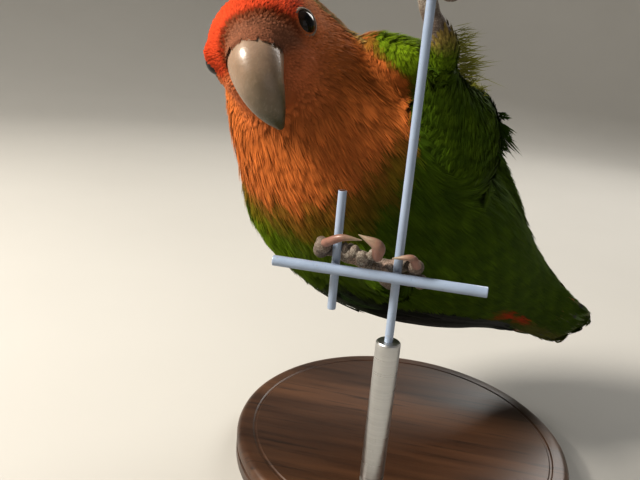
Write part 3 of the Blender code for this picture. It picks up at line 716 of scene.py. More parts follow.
STRAYS = (((11.0, -6.0, 86.6), (15.2, -7.0, 84.2), 1.1, 0), ((11.6, -7.0, 84.2), (17.2, -7.0, 79.5), 0.4, 0),
          ((11.4, -6.0, 85.2), (16.4, -6.0, 81.8), 0.9, 0), ((11.6, -6.0, 81.4), (14.6, -6.0, 77.8), 0.9, 0),
          ((11.2, -5.0, 88.0), (13.6, -6.0, 87.2), 0.9, 0), ((11.8, -5.0, 82.8), (15.6, -5.0, 80.0), 0.8, 0),
          ((1.5, -11.0, 96.0), (7.0, -7.0, 97.0), 1.3, 1), ((0.6, -12.0, 98.5), (5.6, -7.0, 99.6), 1.2, 1),
          ((0.6, -13.0, 100.5), (5.2, -8.0, 101.6), 1.0, 1), ((2.2, -10.0, 94.8), (6.6, -7.0, 95.2), 1.1, 1),
          ((0.4, -14.0, 102.0), (4.4, -9.0, 103.2), 0.7, 1), ((1.6, -11.0, 97.2), (7.4, -6.0, 98.6), 1.1, 1),
          ((3.6, -10.0, 93.4), (6.8, -9.0, 94.4), 0.8, 1), ((5.4, -9.0, 92.0), (8.4, -8.0, 93.0), 0.7, 1))
STRAY_BARBS = 5
STRAY_COPIES = (7, 34)


def build_strays(skin, material):
    """Loose thigh feathers that stand off the outline: dark pointed ones, and pale down by the heel."""
    rows = [row for row in STRAYS for _ in range(STRAY_COPIES[row[3]])]
    root, tip = (np.array([row[k] for row in rows]) for k in (0, 1))
    pale = np.array([row[3] for row in rows], float)
    root = root + RANDOM.normal(0, 1, root.shape) * (0.5 + 0.5 * pale)[:, None]
    tip = tip + RANDOM.normal(0, 1, tip.shape) * (0.7 + 0.6 * pale)[:, None]
    tip = tip + (root - tip) * RANDOM.uniform(0, 0.35, (len(rows), 1))
    hits = [skin.tree.find_nearest(Vector(point)) for point in root]
    faces = [hit[2] for hit in hits]
    chord = tip - root
    normal = unit(np.cross(chord, (0.0, 0.35, 1.0)))
    normal = normal * np.where(normal[:, 1:2] > 0, -1, 1)
    marks = np.zeros((len(rows), 9))
    marks[:, 4] = 0.8 * pale
    marks[:, 8] = 0.45 * pale
    feathers = SimpleNamespace(
        place=root, normal=normal, flow=unit(chord), length=np.linalg.norm(chord, axis=1), tip=tip,
        wide=np.array([row[2] for row in rows]) * (0.28 - 0.21 * pale), uv=skin.uv[faces].mean(1),
        rise=np.full(len(rows), 0.1),
        marks=marks)
    build_feathers("coat_strays", skin, feathers, np.arange(len(rows)), STRAY_BARBS, "green", material)


def build_trousers(leg, path, material):
    """Short feathers from the thigh's end up the shank, thinner and browner towards the bare skin."""
    centres = smooth_rows([centre for centre, _ in path], 60)
    tangents = unit(np.gradient(centres, axis=0))
    gaps = ((leg.points[:, None] - centres[None]) ** 2).sum(-1)
    nearest = gaps.argmin(1)
    share = nearest / (len(centres) - 1)
    near = gaps.min(1) < TROUSER_REACH ** 2
    want = np.where(near, smoothstep(0.52, 0.24, share), 0.0)
    chosen = RANDOM.choice(len(want), TROUSER_FEATHERS, replace=False, p=want / want.sum())
    share = share[chosen]
    normal = leg.normals[chosen]
    flow = tangents[nearest[chosen]]
    flow = unit(flow - dot(flow, normal)[:, None] * normal)
    hits = [leg.tree.find_nearest(Vector(point)) for point in leg.points[chosen]]
    marks = np.zeros((len(chosen), 9))
    marks[:, 4] = 0.45 + 0.35 * share
    marks[:, 8] = smoothstep(0.15, 0.45, share)
    feathers = SimpleNamespace(
        place=leg.points[chosen], normal=normal, flow=flow, tip=None,
        length=RANDOM.uniform(1.3, 2.4, len(chosen)) * (1.1 - 0.5 * share), wide=0.42 - 0.2 * share,
        uv=leg.uv[[hit[2] for hit in hits]].mean(1), rise=RANDOM.uniform(0.25, 0.6, len(chosen)), marks=marks)
    build_feathers("coat_trousers", leg, feathers, np.arange(len(chosen)), 7, "green", material)


TROUSER_REACH = 2.7
TROUSER_FEATHERS = 900


class Nodes:
    """A material's node tree, with short calls for the nodes that the finishes use."""

    def __init__(self, name):
        self.material = bpy.data.materials.new(name)
        self.material.use_nodes = True
        self.tree = self.material.node_tree
        self.shader = self.tree.nodes["Principled BSDF"]

    def link(self, source, target):
        if isinstance(source, bpy.types.NodeSocket):
            self.tree.links.new(source, target)
        else:
            target.default_value = source if not isinstance(source, tuple) or len(source) != 3 else (*source, 1)

    def shade(self, **inputs):
        for name, value in inputs.items():
            self.link(value, self.shader.inputs[name.replace("_", " ")])

    def attribute(self, name):
        node = self.tree.nodes.new("ShaderNodeAttribute")
        node.attribute_name = name
        return node

    def split(self, name):
        node = self.tree.nodes.new("ShaderNodeSeparateXYZ")
        self.link(self.attribute(name).outputs["Vector"], node.inputs[0])
        return node.outputs

    def math(self, operation, *values, clamp=False):
        node = self.tree.nodes.new("ShaderNodeMath")
        node.operation = operation
        node.use_clamp = clamp
        for value, target in zip(values, node.inputs):
            self.link(value, target)
        return node.outputs[0]

    def mix(self, share, low, high, blend="MIX"):
        node = self.tree.nodes.new("ShaderNodeMix")
        node.data_type = "RGBA"
        node.blend_type = blend
        self.link(share, node.inputs["Factor"])
        self.link(low, node.inputs[6])
        self.link(high, node.inputs[7])
        return node.outputs[2]

    def noise(self, scale, detail=3.0, roughness=0.55, stretch=None):
        node = self.tree.nodes.new("ShaderNodeTexNoise")
        node.inputs["Scale"].default_value = scale
        node.inputs["Detail"].default_value = detail
        node.inputs["Roughness"].default_value = roughness
        self.link(self.object_place(stretch), node.inputs["Vector"])
        return node.outputs["Fac"]

    def object_place(self, stretch=None):
        place = self.tree.nodes.new("ShaderNodeTexCoord").outputs["Object"]
        if stretch is None:
            return place
        node = self.tree.nodes.new("ShaderNodeMapping")
        node.inputs["Scale"].default_value = stretch
        self.link(place, node.inputs["Vector"])
        return node.outputs[0]

    def ramp(self, value, low, high):
        node = self.tree.nodes.new("ShaderNodeMapRange")
        self.link(value, node.inputs["Value"])
        for name, number in zip(("From Min", "From Max", "To Min", "To Max"), (*low, *high)):
            node.inputs[name].default_value = number
        return node.outputs[0]

    def bump(self, height, distance, strength=1.0):
        node = self.tree.nodes.new("ShaderNodeBump")
        node.inputs["Strength"].default_value = strength
        node.inputs["Distance"].default_value = distance * MM
        self.link(height, node.inputs["Height"])
        self.link(node.outputs[0], self.shader.inputs["Normal"])


def plumage_material(name):
    """Feather colours from the markings, with each barb's own tone and painted shade that darkens each root and the
    skin under the coat.
    """
    nodes = Nodes(name)
    bib, brow, face = nodes.split(MARK_SETS[0])[:3]
    rump, leaf_and_painted_light, ember = nodes.split(MARK_SETS[1])[:3]
    dark, painted_crease_shade, halo = nodes.split(MARK_SETS[2])[:3]
    tone = nodes.attribute("tone").outputs["Fac"]
    along = nodes.attribute("along").outputs["Fac"]
    # The paler green mixes the belly's own colour with painted light on its lit side and on the left wing's bend
    green = nodes.mix(leaf_and_painted_light, DEEP_GREEN, LEAF_GREEN_AND_PAINTED_LIGHT)
    green = nodes.mix(rump, green, RUMP_BLUE)
    green = nodes.mix(ember, green, EMBER)
    edge = nodes.math("MULTIPLY", nodes.math("SUBTRACT", 1.0, bib), bib)
    colour = nodes.mix(bib, green, PEACH)
    colour = nodes.mix(nodes.math("MULTIPLY", edge, 2.4, clamp=True), colour, EDGE_OLIVE)
    cheek = nodes.math("MULTIPLY", face, 1 / 0.6, clamp=True)
    patch = nodes.math("MULTIPLY", nodes.math("SUBTRACT", face, 0.6), 1 / 0.4, clamp=True)
    colour = nodes.mix(cheek, colour, FACE_SALMON)
    colour = nodes.mix(patch, colour, PATCH_PINK)
    colour = nodes.mix(halo, colour, NECK_EDGE)
    colour = nodes.mix(brow, colour, BROW_RED)
    # Painted shade: dark red in the fold round the pale patch
    colour = nodes.mix(nodes.math("MULTIPLY", painted_crease_shade, 0.8), colour, PAINTED_CREASE_SHADE)
    colour = nodes.mix(dark, colour, FLIGHT_DARK)
    # Each barb's random tone, times painted shade that darkens the root where other feathers cover it
    shade = nodes.math("MULTIPLY", nodes.ramp(tone, (0, 1), (0.72, 1.28)), nodes.ramp(along, (0, 0.8), (0.60, 1.06)))
    patches = nodes.ramp(nodes.noise(220.0), (0.3, 0.7), (0.90, 1.10))
    shade = nodes.math("MULTIPLY", shade, patches)
    grey = nodes.tree.nodes.new("ShaderNodeCombineColor")
    for socket in grey.inputs:
        nodes.link(shade, socket)
    colour = nodes.mix(1.0, colour, grey.outputs[0], "MULTIPLY")
    nodes.shade(Base_Color=colour, Roughness=0.72)
    nodes.shader.inputs["Specular IOR Level"].default_value = 0.08
    return nodes.material


DEEP_GREEN = (0.022, 0.050, 0.0016)
# Paler green, used both for real pale feathers and for painted light
LEAF_GREEN_AND_PAINTED_LIGHT = (0.160, 0.235, 0.006)
RUMP_BLUE = (0.020, 0.110, 0.400)
EMBER = (0.420, 0.050, 0.006)
PEACH = (0.530, 0.168, 0.042)
EDGE_OLIVE = (0.125, 0.095, 0.004)
FACE_SALMON = (0.500, 0.165, 0.070)
PATCH_PINK = (0.270, 0.115, 0.065)
NECK_EDGE = (0.300, 0.220, 0.070)
BROW_RED = (0.480, 0.064, 0.020)
# Colour of the painted shade in the fold round the pale patch
PAINTED_CREASE_SHADE = (0.085, 0.016, 0.002)
FLIGHT_DARK = (0.010, 0.013, 0.009)


def spine_at(stations):
    """Rows of the spine between its own rows: centre, left and belly reach at each station."""
    line = spine()
    places = np.clip(np.asarray(stations, float), 0, len(TRUNK_STATIONS) - 1) * SPINE_STEPS
    grid = np.arange(len(line.centre))

    def between(table):
        return np.stack([np.interp(places, grid, table[:, k]) for k in range(3)], axis=1)

    return (between(line.centre), between(line.left * line.width[:, None]),
            between(line.belly * line.depth[:, None]))


def laid(skin, stations, degrees):
    """Points and normals of the skin where rays from outside meet it at each station and angle."""
    centres, lefts, bellies = spine_at(stations)
    turns = np.radians(degrees)[:, None]
    outs = unit(np.cos(turns) * lefts + np.sin(turns) * bellies)
    points, normals = [], []
    for centre, out in zip(centres, outs):
        place, _, face, _ = skin.tree.ray_cast(Vector(centre + 60 * out), Vector(-out))
        points.append(place)
        normals.append(skin.normals[skin.quads[face]].mean(0))
    return np.array(points, float), unit(normals)


def softened(rows, passes):
    rows = np.array(rows, float)
    for _ in range(passes):
        rows[1:-1] = 0.5 * rows[1:-1] + 0.25 * (rows[:-2] + rows[2:])
    return rows


def vane(path, normals, half_width, lift, camber=0.10, notch=0.04):
    """Rows of one flight feather: a tapering blade on a path, with split edges and a rounded tip."""
    share = np.linspace(0, 1, len(path))
    across = np.array(VANE_ACROSS)
    ahead = unit(np.gradient(path, axis=0))
    sideways = unit(np.cross(normals, ahead))
    width = half_width * (0.45 + 0.55 * smoothstep(0, 0.35, share))
    width = width * np.sqrt(np.clip(1 - ((share - 0.74) / 0.262).clip(0) ** 2, 0.0, 1))
    reach = width[:, None] * across[None]
    reach = reach * (1 - notch * RANDOM.random(reach.shape) * (np.abs(across) > 0.9))
    height = lift * smoothstep(-0.1, 0.4, share)[:, None] - camber * half_width * across[None] ** 2 + SHAFT_RISE * (across[None] == 0)
    return (path[:, None] + sideways[:, None] * reach[..., None] + normals[:, None] * height[..., None],
            np.broadcast_to(share[:, None], reach.shape), np.broadcast_to(across[None], reach.shape))


VANE_ACROSS = (-1.0, -0.8, -0.5, -0.2, -0.06, 0.0, 0.06, 0.2, 0.5, 0.8, 1.0)
SHAFT_RISE = 0.07


def vane_object(name, skin, vanes, slot, material):
    """Joins vanes, each with its own tint, into one object."""
    points, along, across, tints, faces, places, offset = [], [], [], [], [], [], 0
    for (rows, share, side), tint in vanes:
        middle = rows[0, len(VANE_ACROSS) // 2]
        face = skin.tree.find_nearest(Vector(middle))[2]
        places.append(skin.uv[face].mean(0) + PATCH * np.stack([side / 2, share - 0.5], axis=-1).reshape(-1, 2))
        count, wide = rows.shape[:2]
        points.append(rows.reshape(-1, 3))
        along.append(share.ravel())
        across.append(side.ravel())
        tints.append(np.broadcast_to(np.asarray(tint, float), (count * wide, 3)))
        grid = offset + np.arange(count * wide).reshape(count, wide)
        faces.append(np.stack([grid[:-1, :-1], grid[:-1, 1:], grid[1:, 1:], grid[1:, :-1]], axis=-1).reshape(-1, 4))
        offset += count * wide
    faces = np.vstack(faces)
    made = mesh_object(name, np.vstack(points), faces, [material])
    places = np.vstack(places)[faces.ravel()].astype(np.float32)
    made.data.uv_layers.new(name="OFBake").uv.foreach_set("vector", places.ravel())
    add_attribute(made.data, "along", np.concatenate(along))
    add_attribute(made.data, "across", np.concatenate(across))
    add_attribute(made.data, "tint", np.vstack(tints))
    return piece(made, slot)


def wing_paths(skin, table, start, end, count):
    """Path of a feather on the wing between two (station, share from lead to rear edge) places."""
    table = np.array(table, float)
    share = np.linspace(0, 1, count)
    stations = start[0] + (end[0] - start[0]) * share
    shares = start[1] + (end[1] - start[1]) * share ** 0.8
    lead = np.interp(stations, table[:, 0], table[:, 1])
    rear = np.interp(stations, table[:, 0], table[:, 2])
    points, normals = laid(skin, stations, lead + shares * (rear - lead))
    return softened(points, 3), unit(softened(normals, 4))


RIGHT_WING = ((2.3, 148, 190), (3, 140, 214), (3.7, 126, 231), (4, 118, 235), (4.5, 115, 240), (4.8, 106, 243),
              (5.2, 97, 245), (6, 96, 250), (6.5, 99, 253), (7, 112, 255), (7.7, 140, 256), (8.3, 185, 248))
LEFT_WING = ((1, 4, -30), (1.9, 6, -48), (3, -6, -62), (4, -17, -72), (5, -23, -79), (6, -27, -83),
             (7, -31, -85), (7.7, -38, -83), (8.3, -50, -76))
PRIMARIES = 9
SECONDARIES = 9
TERTIALS = 3
COVERTS = 12
VANE_STEPS = 30


def build_wing(skin, side, table, slot, material):
    """Flight feathers of a folded wing: primaries along the lead edge, secondaries and coverts over them."""
    vanes = []
    for i in range(PRIMARIES):
        start = (4.3 + 0.10 * i, 0.035 + 0.052 * i)
        end = (8.25 - 0.17 * abs(i - 1.5), 0.10 + 0.075 * i)
        path, normals = wing_paths(skin, table, start, end, VANE_STEPS)
        vanes.append((vane(path, normals, 2.5 if i else 2.1, 0.12 + 0.035 * i), PRIMARY_TINT))
    for i in range(SECONDARIES):
        start = (3.9 + 0.03 * i, 0.46 + 0.056 * i)
        end = (7.0 - 0.24 * i, 0.58 + 0.045 * i)
        path, normals = wing_paths(skin, table, start, end, VANE_STEPS)
        vanes.append((vane(path, normals, 2.9, 0.46 - 0.01 * i), SECONDARY_TINT))
    for i in range(TERTIALS):
        path, normals = wing_paths(skin, table, (3.4, 0.90 + 0.03 * i), (5.6 - 0.5 * i, 0.93 + 0.03 * i), VANE_STEPS)
        vanes.append((vane(path, normals, 3.1, 0.50 + 0.06 * i), TERTIAL_TINT))
    for i in range(COVERTS):
        share = 0.07 + 0.078 * i
        start = (3.35, share)
        path, normals = wing_paths(skin, table, start, (4.75 + 0.1 * (i % 2), share + 0.02), VANE_STEPS // 2)
        vanes.append((vane(path, normals, 2.5, 0.50 + 0.03 * (i % 3)), COVERT_TINT if i > 3 else SECONDARY_TINT))
    order = vanes if side == "right" else [((rows, share, -across), tint) for (rows, share, across), tint in vanes]
    return vane_object(f"flight_feathers_{side}", skin, order, slot, material)


PRIMARY_TINT = (0.010, 0.012, 0.011)
SECONDARY_TINT = (0.022, 0.060, 0.008)
TERTIAL_TINT = (0.045, 0.130, 0.010)
COVERT_TINT = (0.060, 0.160, 0.010)

TAIL_FEATHERS = 7


def build_tail(skin, material):
    """Tail feathers on the upper and under face, side by side and fanned a little."""
    vanes = []
    for face, sign in (("under", 1), ("upper", -1)):
        for i in range(TAIL_FEATHERS):
            spread_out = 2 * i / (TAIL_FEATHERS - 1) - 1
            start = sign * (90 + 52 * spread_out)
            end = sign * (90 + 68 * spread_out)
            stations = np.linspace(7.4, 8.97 - 0.10 * spread_out**2, VANE_STEPS)
            degrees = np.linspace(start, end, VANE_STEPS)
            path, normals = laid(skin, stations, degrees)
            path, normals = softened(path, 3), unit(softened(normals, 6))
            lift = 0.25 + 0.12 * (1 - abs(spread_out)) * (1 if sign < 0 else -1) + 0.12
            vanes.append((vane(path, normals, 2.3, lift, 0.04), TAIL_TINT))
    return vane_object("tail_feathers", skin, vanes, "tail_green", material)


TAIL_TINT = (0.050, 0.130, 0.012)


def flight_material():
    """Dark flight feathers: a pale thin edge, a paler shaft and slanting barbs."""
    nodes = Nodes("flight")
    along = nodes.attribute("along").outputs["Fac"]
    across = nodes.attribute("across").outputs["Fac"]
    tint = nodes.attribute("tint").outputs["Vector"]
    off = nodes.math("ABSOLUTE", across)
    barb = nodes.math("ADD", nodes.math("MULTIPLY", along, 190.0), nodes.math("MULTIPLY", off, -22.0))
    lines = nodes.math("SINE", barb)
    colour = nodes.mix(nodes.ramp(lines, (-1, 1), (0, 0.35)), tint, (0.0, 0.0, 0.0))
    inner = nodes.math("MULTIPLY", nodes.ramp(across, (-0.2, 0.3), (0, 0.75)), 1.0, clamp=True)
    colour = nodes.mix(inner, colour, (0.010, 0.012, 0.010))
    edge = nodes.math("MULTIPLY", nodes.ramp(off, (0.93, 1.0), (0, 0.4)), 1.0, clamp=True)
    colour = nodes.mix(edge, colour, (0.20, 0.24, 0.11))
    shaft = nodes.math("LESS_THAN", off, 0.035)
    colour = nodes.mix(nodes.math("MULTIPLY", shaft, 0.6), colour, (0.05, 0.05, 0.035))
    nodes.shade(Base_Color=colour, Roughness=0.62)
    nodes.shader.inputs["Specular IOR Level"].default_value = 0.22
    nodes.bump(lines, 0.03, 0.5)
    return nodes.material


def tail_material():
    """Tail feathers: green, then an orange and a black band, then a blue-green tip."""
    nodes = Nodes("tail")
    along = nodes.attribute("along").outputs["Fac"]
    across = nodes.attribute("across").outputs["Fac"]
    off = nodes.math("ABSOLUTE", across)
    place = nodes.math("ADD", along, nodes.math("MULTIPLY", nodes.noise(900.0), 0.04))
    lines = nodes.math("SINE", nodes.math("ADD", nodes.math("MULTIPLY", along, 190.0), nodes.math("MULTIPLY", off, -22.0)))
    colour = nodes.attribute("tint").outputs["Vector"]
    for low, tint in ((0.30, (0.42, 0.10, 0.012)), (0.52, (0.10, 0.12, 0.01)), (0.66, (0.012, 0.012, 0.010)),
                      (0.76, (0.07, 0.13, 0.012)), (0.9, (0.16, 0.17, 0.06))):
        step = nodes.math("MULTIPLY", nodes.ramp(place, (low, low + 0.05), (0, 1)), 1.0, clamp=True)
        colour = nodes.mix(step, colour, tint)
    colour = nodes.mix(nodes.ramp(lines, (-1, 1), (0, 0.25)), colour, (0.0, 0.0, 0.0))
    nodes.shade(Base_Color=colour, Roughness=0.5)
    nodes.bump(lines, 0.03, 0.5)
    return nodes.material


def rings_object(name, rings, start, end, materials):
    """A closed skin over rings of points, with a pole at each end."""
    rings = np.asarray(rings)
    count, sides = rings.shape[:2]
    grid = 1 + np.arange(count * sides).reshape(count, sides)
    step = np.roll(grid, -1, axis=1)
    quads = np.stack([grid[:-1], grid[1:], step[1:], step[:-1]], axis=-1).reshape(-1, 4)
    last = count * sides + 1
    caps = np.vstack([np.stack([np.zeros(sides, int), grid[0], step[0]], axis=-1),
                      np.stack([np.full(sides, last), step[-1], grid[-1]], axis=-1)])
    points = np.vstack([start, rings.reshape(-1, 3), end])
    faces = np.vstack([both_triangles(quads), caps])
    centre = points.mean(0)
    across = np.cross(points[faces[:, 1]] - points[faces[:, 0]], points[faces[:, 2]] - points[faces[:, 0]])
    if (dot(across, points[faces[:, 0]] - centre)).sum() < 0:
        faces = faces[:, ::-1]
    return mesh_object(name, points, faces, materials), points, faces


def turned_rings(profile, origin, axis, sides):
    """Rings of (radius, height) rows turned about an axis."""
    profile = np.asarray(profile, float)
    along = unit(axis)
    side = unit(np.cross(along, (0.31, 0.17, 0.93)))
    other = np.cross(along, side)
    turns = np.linspace(0, 2 * math.pi, sides, endpoint=False)
    circle = np.cos(turns)[:, None] * side + np.sin(turns)[:, None] * other
    return np.array(origin) + profile[:, :1, None] * circle[None] + profile[:, 1:, None] * along


def tube_rings(path, radii, rings, sides, swell=0.0, waves=0, oval=1.0):
    """Rings of a tube on a smooth path; swell and waves bulge it into pads."""
    rows = smooth_rows([(*point, radius) for point, radius in zip(path, radii)], rings)
    tangents = unit(np.gradient(rows[:, :3], axis=0))
    side = unit(np.cross(tangents[0], (0.31, 0.17, 0.93)))
    turns = np.linspace(0, 2 * math.pi, sides, endpoint=False)
    out = []
    for i in range(rings):
        side = unit(side - np.dot(side, tangents[i]) * tangents[i])
        other = np.cross(tangents[i], side)
        size = rows[i, 3] * (1 + swell * math.cos(2 * math.pi * waves * i / (rings - 1)))
        out.append(rows[i, :3] + size * (np.cos(turns)[:, None] * side + oval * np.sin(turns)[:, None] * other))
    first = -rows[0, 3] * tangents[0]
    final = rows[-1, 3] * tangents[-1]
    front, back = out[0], out[-1]
    for turn in np.radians((22, 45, 68)):
        shrink, reach = math.cos(turn), math.sin(turn)
        out.insert(0, rows[0, :3] + first * reach + (front - rows[0, :3]) * shrink)
        out.append(rows[-1, :3] + final * reach + (back - rows[-1, :3]) * shrink)
    return np.array(out), rows[0, :3] + first, rows[-1, :3] + final


EYE_VISIBLE_RADIUS = 2.85
EYE_SIT = (0.6, 9.35, 0.6)
GAZE = (0.50, 0.86, 0.06)
RING_PROFILE = ((2.44, 1.20), (2.48, 1.46), (2.58, 1.62), (2.76, 1.60), (2.94, 1.40), (3.10, 1.10),
                (3.22, 0.72), (3.30, 0.30), (3.34, -0.1), (3.36, -0.6))


def build_eye(side, sign, eye, lid):
    """An eyeball and the bare granular ring that holds it."""
    ahead, out, rise = EYE_SIT
    centre = head_point(ahead, sign * out, rise)
    gaze = (np.array(GAZE) * (1, sign, 1)) @ head_axes()
    polar = np.linspace(0, math.pi, 42)[1:-1]
    profile = EYE_VISIBLE_RADIUS * np.stack([np.sin(polar), np.cos(polar)], axis=1)
    ball, points, _ = rings_object(f"eyeball_{side}", turned_rings(profile, centre, gaze, 56),
                                   centre + EYE_VISIBLE_RADIUS * gaze, centre - EYE_VISIBLE_RADIUS * gaze, [eye])
    reach = np.degrees(np.arccos(np.clip(unit(points - centre) @ unit(gaze), -1, 1)))
    add_attribute(ball.data, "along", reach / 90)
    piece(ball, "eye", f"eye_{side}")

    sides = 96
    profile = smooth_rows(RING_PROFILE, 34)
    rings = turned_rings(profile, centre, gaze, sides)
    rows, turns = np.meshgrid(np.arange(len(profile)), np.linspace(0, 2 * math.pi, sides, endpoint=False), indexing="ij")
    beads = np.abs(np.sin(rows * 0.62)) * np.abs(np.sin(turns * 21 + 1.6 * (rows // 5)))
    body = smoothstep(2, 8, rows) * smoothstep(34, 22, rows)
    outward = unit(rings - (centre + 0.6 * unit(gaze)))
    rings = rings + outward * (0.09 * beads * body)[..., None]
    grid = np.arange(rings.shape[0] * sides).reshape(-1, sides)
    step = np.roll(grid, -1, axis=1)
    faces = np.stack([grid[:-1], step[:-1], step[1:], grid[1:]], axis=-1).reshape(-1, 4)
    points = rings.reshape(-1, 3)
    across = np.cross(points[faces[:, 1]] - points[faces[:, 0]], points[faces[:, 3]] - points[faces[:, 0]])
    if dot(across, points[faces[:, 0]] - centre).sum() < 0:
        faces = faces[:, ::-1]
    made = mesh_object(f"eye_ring_{side}", points, faces, [lid])
    add_attribute(made.data, "along", (rows / (len(profile) - 1)).ravel())
    piece(made, "scaly_skin")


def eye_material():
    """A black pupil in a dark brown iris under a wet, clear surface."""
    nodes = Nodes("eye_wet")
    along = nodes.attribute("along").outputs["Fac"]
    iris = nodes.math("MULTIPLY", nodes.ramp(along, (0.27, 0.33), (0, 1)), 1.0, clamp=True)
    streak = nodes.ramp(nodes.noise(2600.0, stretch=(1, 1, 1)), (0.3, 0.7), (0.4, 1.0))
    brown = nodes.mix(streak, (0.004, 0.003, 0.002), (0.016, 0.008, 0.004))
    nodes.shade(Base_Color=nodes.mix(iris, (0.001, 0.001, 0.001), brown), Roughness=0.08)
    nodes.shader.inputs["Specular IOR Level"].default_value = 0.25
    nodes.shader.inputs["Coat Weight"].default_value = 0.1
    nodes.shader.inputs["Coat Roughness"].default_value = 0.03
    return nodes.material


def lid_material():
    nodes = Nodes("lid_skin")
    grain = nodes.noise(1500.0)
    colour = nodes.mix(nodes.ramp(grain, (0.35, 0.65), (0, 1)), (0.13, 0.092, 0.068), (0.25, 0.20, 0.16))
    along = nodes.attribute("along").outputs["Fac"]
    inner = nodes.math("MULTIPLY", nodes.ramp(along, (0.10, 0.02), (0, 1)), 1.0, clamp=True)
    colour = nodes.mix(inner, colour, (0.03, 0.02, 0.018))
    nodes.shade(Base_Color=colour, Roughness=0.6)
    nodes.bump(grain, 0.05, 0.6)
    return nodes.material


UPPER_BILL = (((3.6, -1.3), 5.0, 5.3), ((6.8, -1.6), 5.2, 5.55), ((9.8, -2.5), 5.2, 5.45), ((12.3, -5.5), 4.3, 4.75),
              ((13.2, -9.2), 3.05, 3.7), ((12.9, -12.4), 1.82, 2.3), ((12.2, -15.0), 0.55, 0.7))
LOWER_BILL = (((1.5, -8.0), 3.0, 3.6), ((5.6, -9.6), 3.0, 3.0), ((8.4, -10.8), 2.3, 2.1), ((10.0, -11.3), 1.0, 1.2))
BILL_RINGS = 72
BILL_SIDES = 72


def bill_rings(sections, ridge):
    """Rings of a hooked loft in the head's middle plane, with a soft ridge along its back."""
    rows = smooth_rows([(*centre, high, wide) for centre, high, wide in sections], BILL_RINGS)
    forward, left, up = head_axes()
    tangents = np.gradient(rows[:, :2], axis=0)
    turns = np.linspace(0, 2 * math.pi, BILL_SIDES, endpoint=False)
    out = []
    for (ahead, rise, high, wide), (run, climb) in zip(rows, tangents):
        length = math.hypot(run, climb)
        outward = (-climb / length) * forward + (run / length) * up
        crest = np.clip(np.sin(turns), 0, 1) ** 6
        lines = 1 + 0.004 * np.sin(ahead * 5.0 - rise * 5.0)
        out.append(head_point(ahead, 0, rise)
                   + (high * (np.sin(turns) + ridge * crest) * lines)[:, None] * outward
                   + (wide * np.cos(turns) * (1 - 0.10 * crest) * lines)[:, None] * left)
    return np.array(out)


def build_bill(material):
    for name, sections, ridge in (("bill_upper", UPPER_BILL, 0.03), ("bill_lower", LOWER_BILL, 0.0)):
        rings = bill_rings(sections, ridge)
        first, final = rings[0].mean(0), rings[-1].mean(0)
        tip = final + 0.6 * sections[-1][2] * unit(final - rings[-2].mean(0))
        made, points, _ = rings_object(f"horn_{name}", rings, first, tip, [material])
        share = np.concatenate([[0], np.repeat(np.linspace(0, 1, BILL_RINGS), BILL_SIDES), [1]])
        # The lower bill starts at 0.7 along, so it takes the tip's dark colour: painted shade under the upper bill
        add_attribute(made.data, "along", share if name == "bill_upper" else 0.7 + 0.3 * share)
        turn = np.concatenate([[0], np.tile(np.linspace(0, 1, BILL_SIDES, endpoint=False), BILL_RINGS), [0]])
        add_attribute(made.data, "across", np.sin(2 * math.pi * turn))
        piece(made, "horn", name)


def horn_material():
    """Bill: warm ivory at the base, greenish grey at the tip, with fine growth lines and wear."""
    nodes = Nodes("bill_horn")
    along = nodes.attribute("along").outputs["Fac"]
    across = nodes.attribute("across").outputs["Fac"]
    cloud = nodes.noise(260.0, detail=4.0)
    place = nodes.math("ADD", along, nodes.math("MULTIPLY", nodes.math("SUBTRACT", cloud, 0.5), 0.35))
    tip = nodes.math("MULTIPLY", nodes.ramp(place, (0.38, 0.85), (0, 1)), 1.0, clamp=True)
    colour = nodes.mix(tip, (0.31, 0.218, 0.155), (0.060, 0.058, 0.026))
    base = nodes.math("MULTIPLY", nodes.ramp(place, (0.30, 0.12), (0, 0.6)), 1.0, clamp=True)
    colour = nodes.mix(base, colour, (0.35, 0.25, 0.19))
    lines = nodes.math("SINE", nodes.math("MULTIPLY", place, 160.0))
    colour = nodes.mix(nodes.ramp(lines, (-1, 1), (0.0, 0.10)), colour, (0.15, 0.10, 0.06))
    flake = nodes.noise(1800.0, detail=5.0, stretch=(1, 1, 0.35))
    colour = nodes.mix(nodes.ramp(flake, (0.55, 0.75), (0, 0.18)), colour, (0.48, 0.40, 0.32))
    nodes.shade(Base_Color=colour, Roughness=0.38)
    nodes.shader.inputs["Coat Weight"].default_value = 0.2
    nodes.shader.inputs["Coat Roughness"].default_value = 0.18
    nodes.shader.inputs["Subsurface Weight"].default_value = 0.15
    nodes.shader.inputs["Subsurface Radius"].default_value = (0.0012, 0.0008, 0.0005)
    nodes.bump(nodes.math("ADD", nodes.math("MULTIPLY", lines, 0.3), flake), 0.03, 0.5)
    return nodes.material


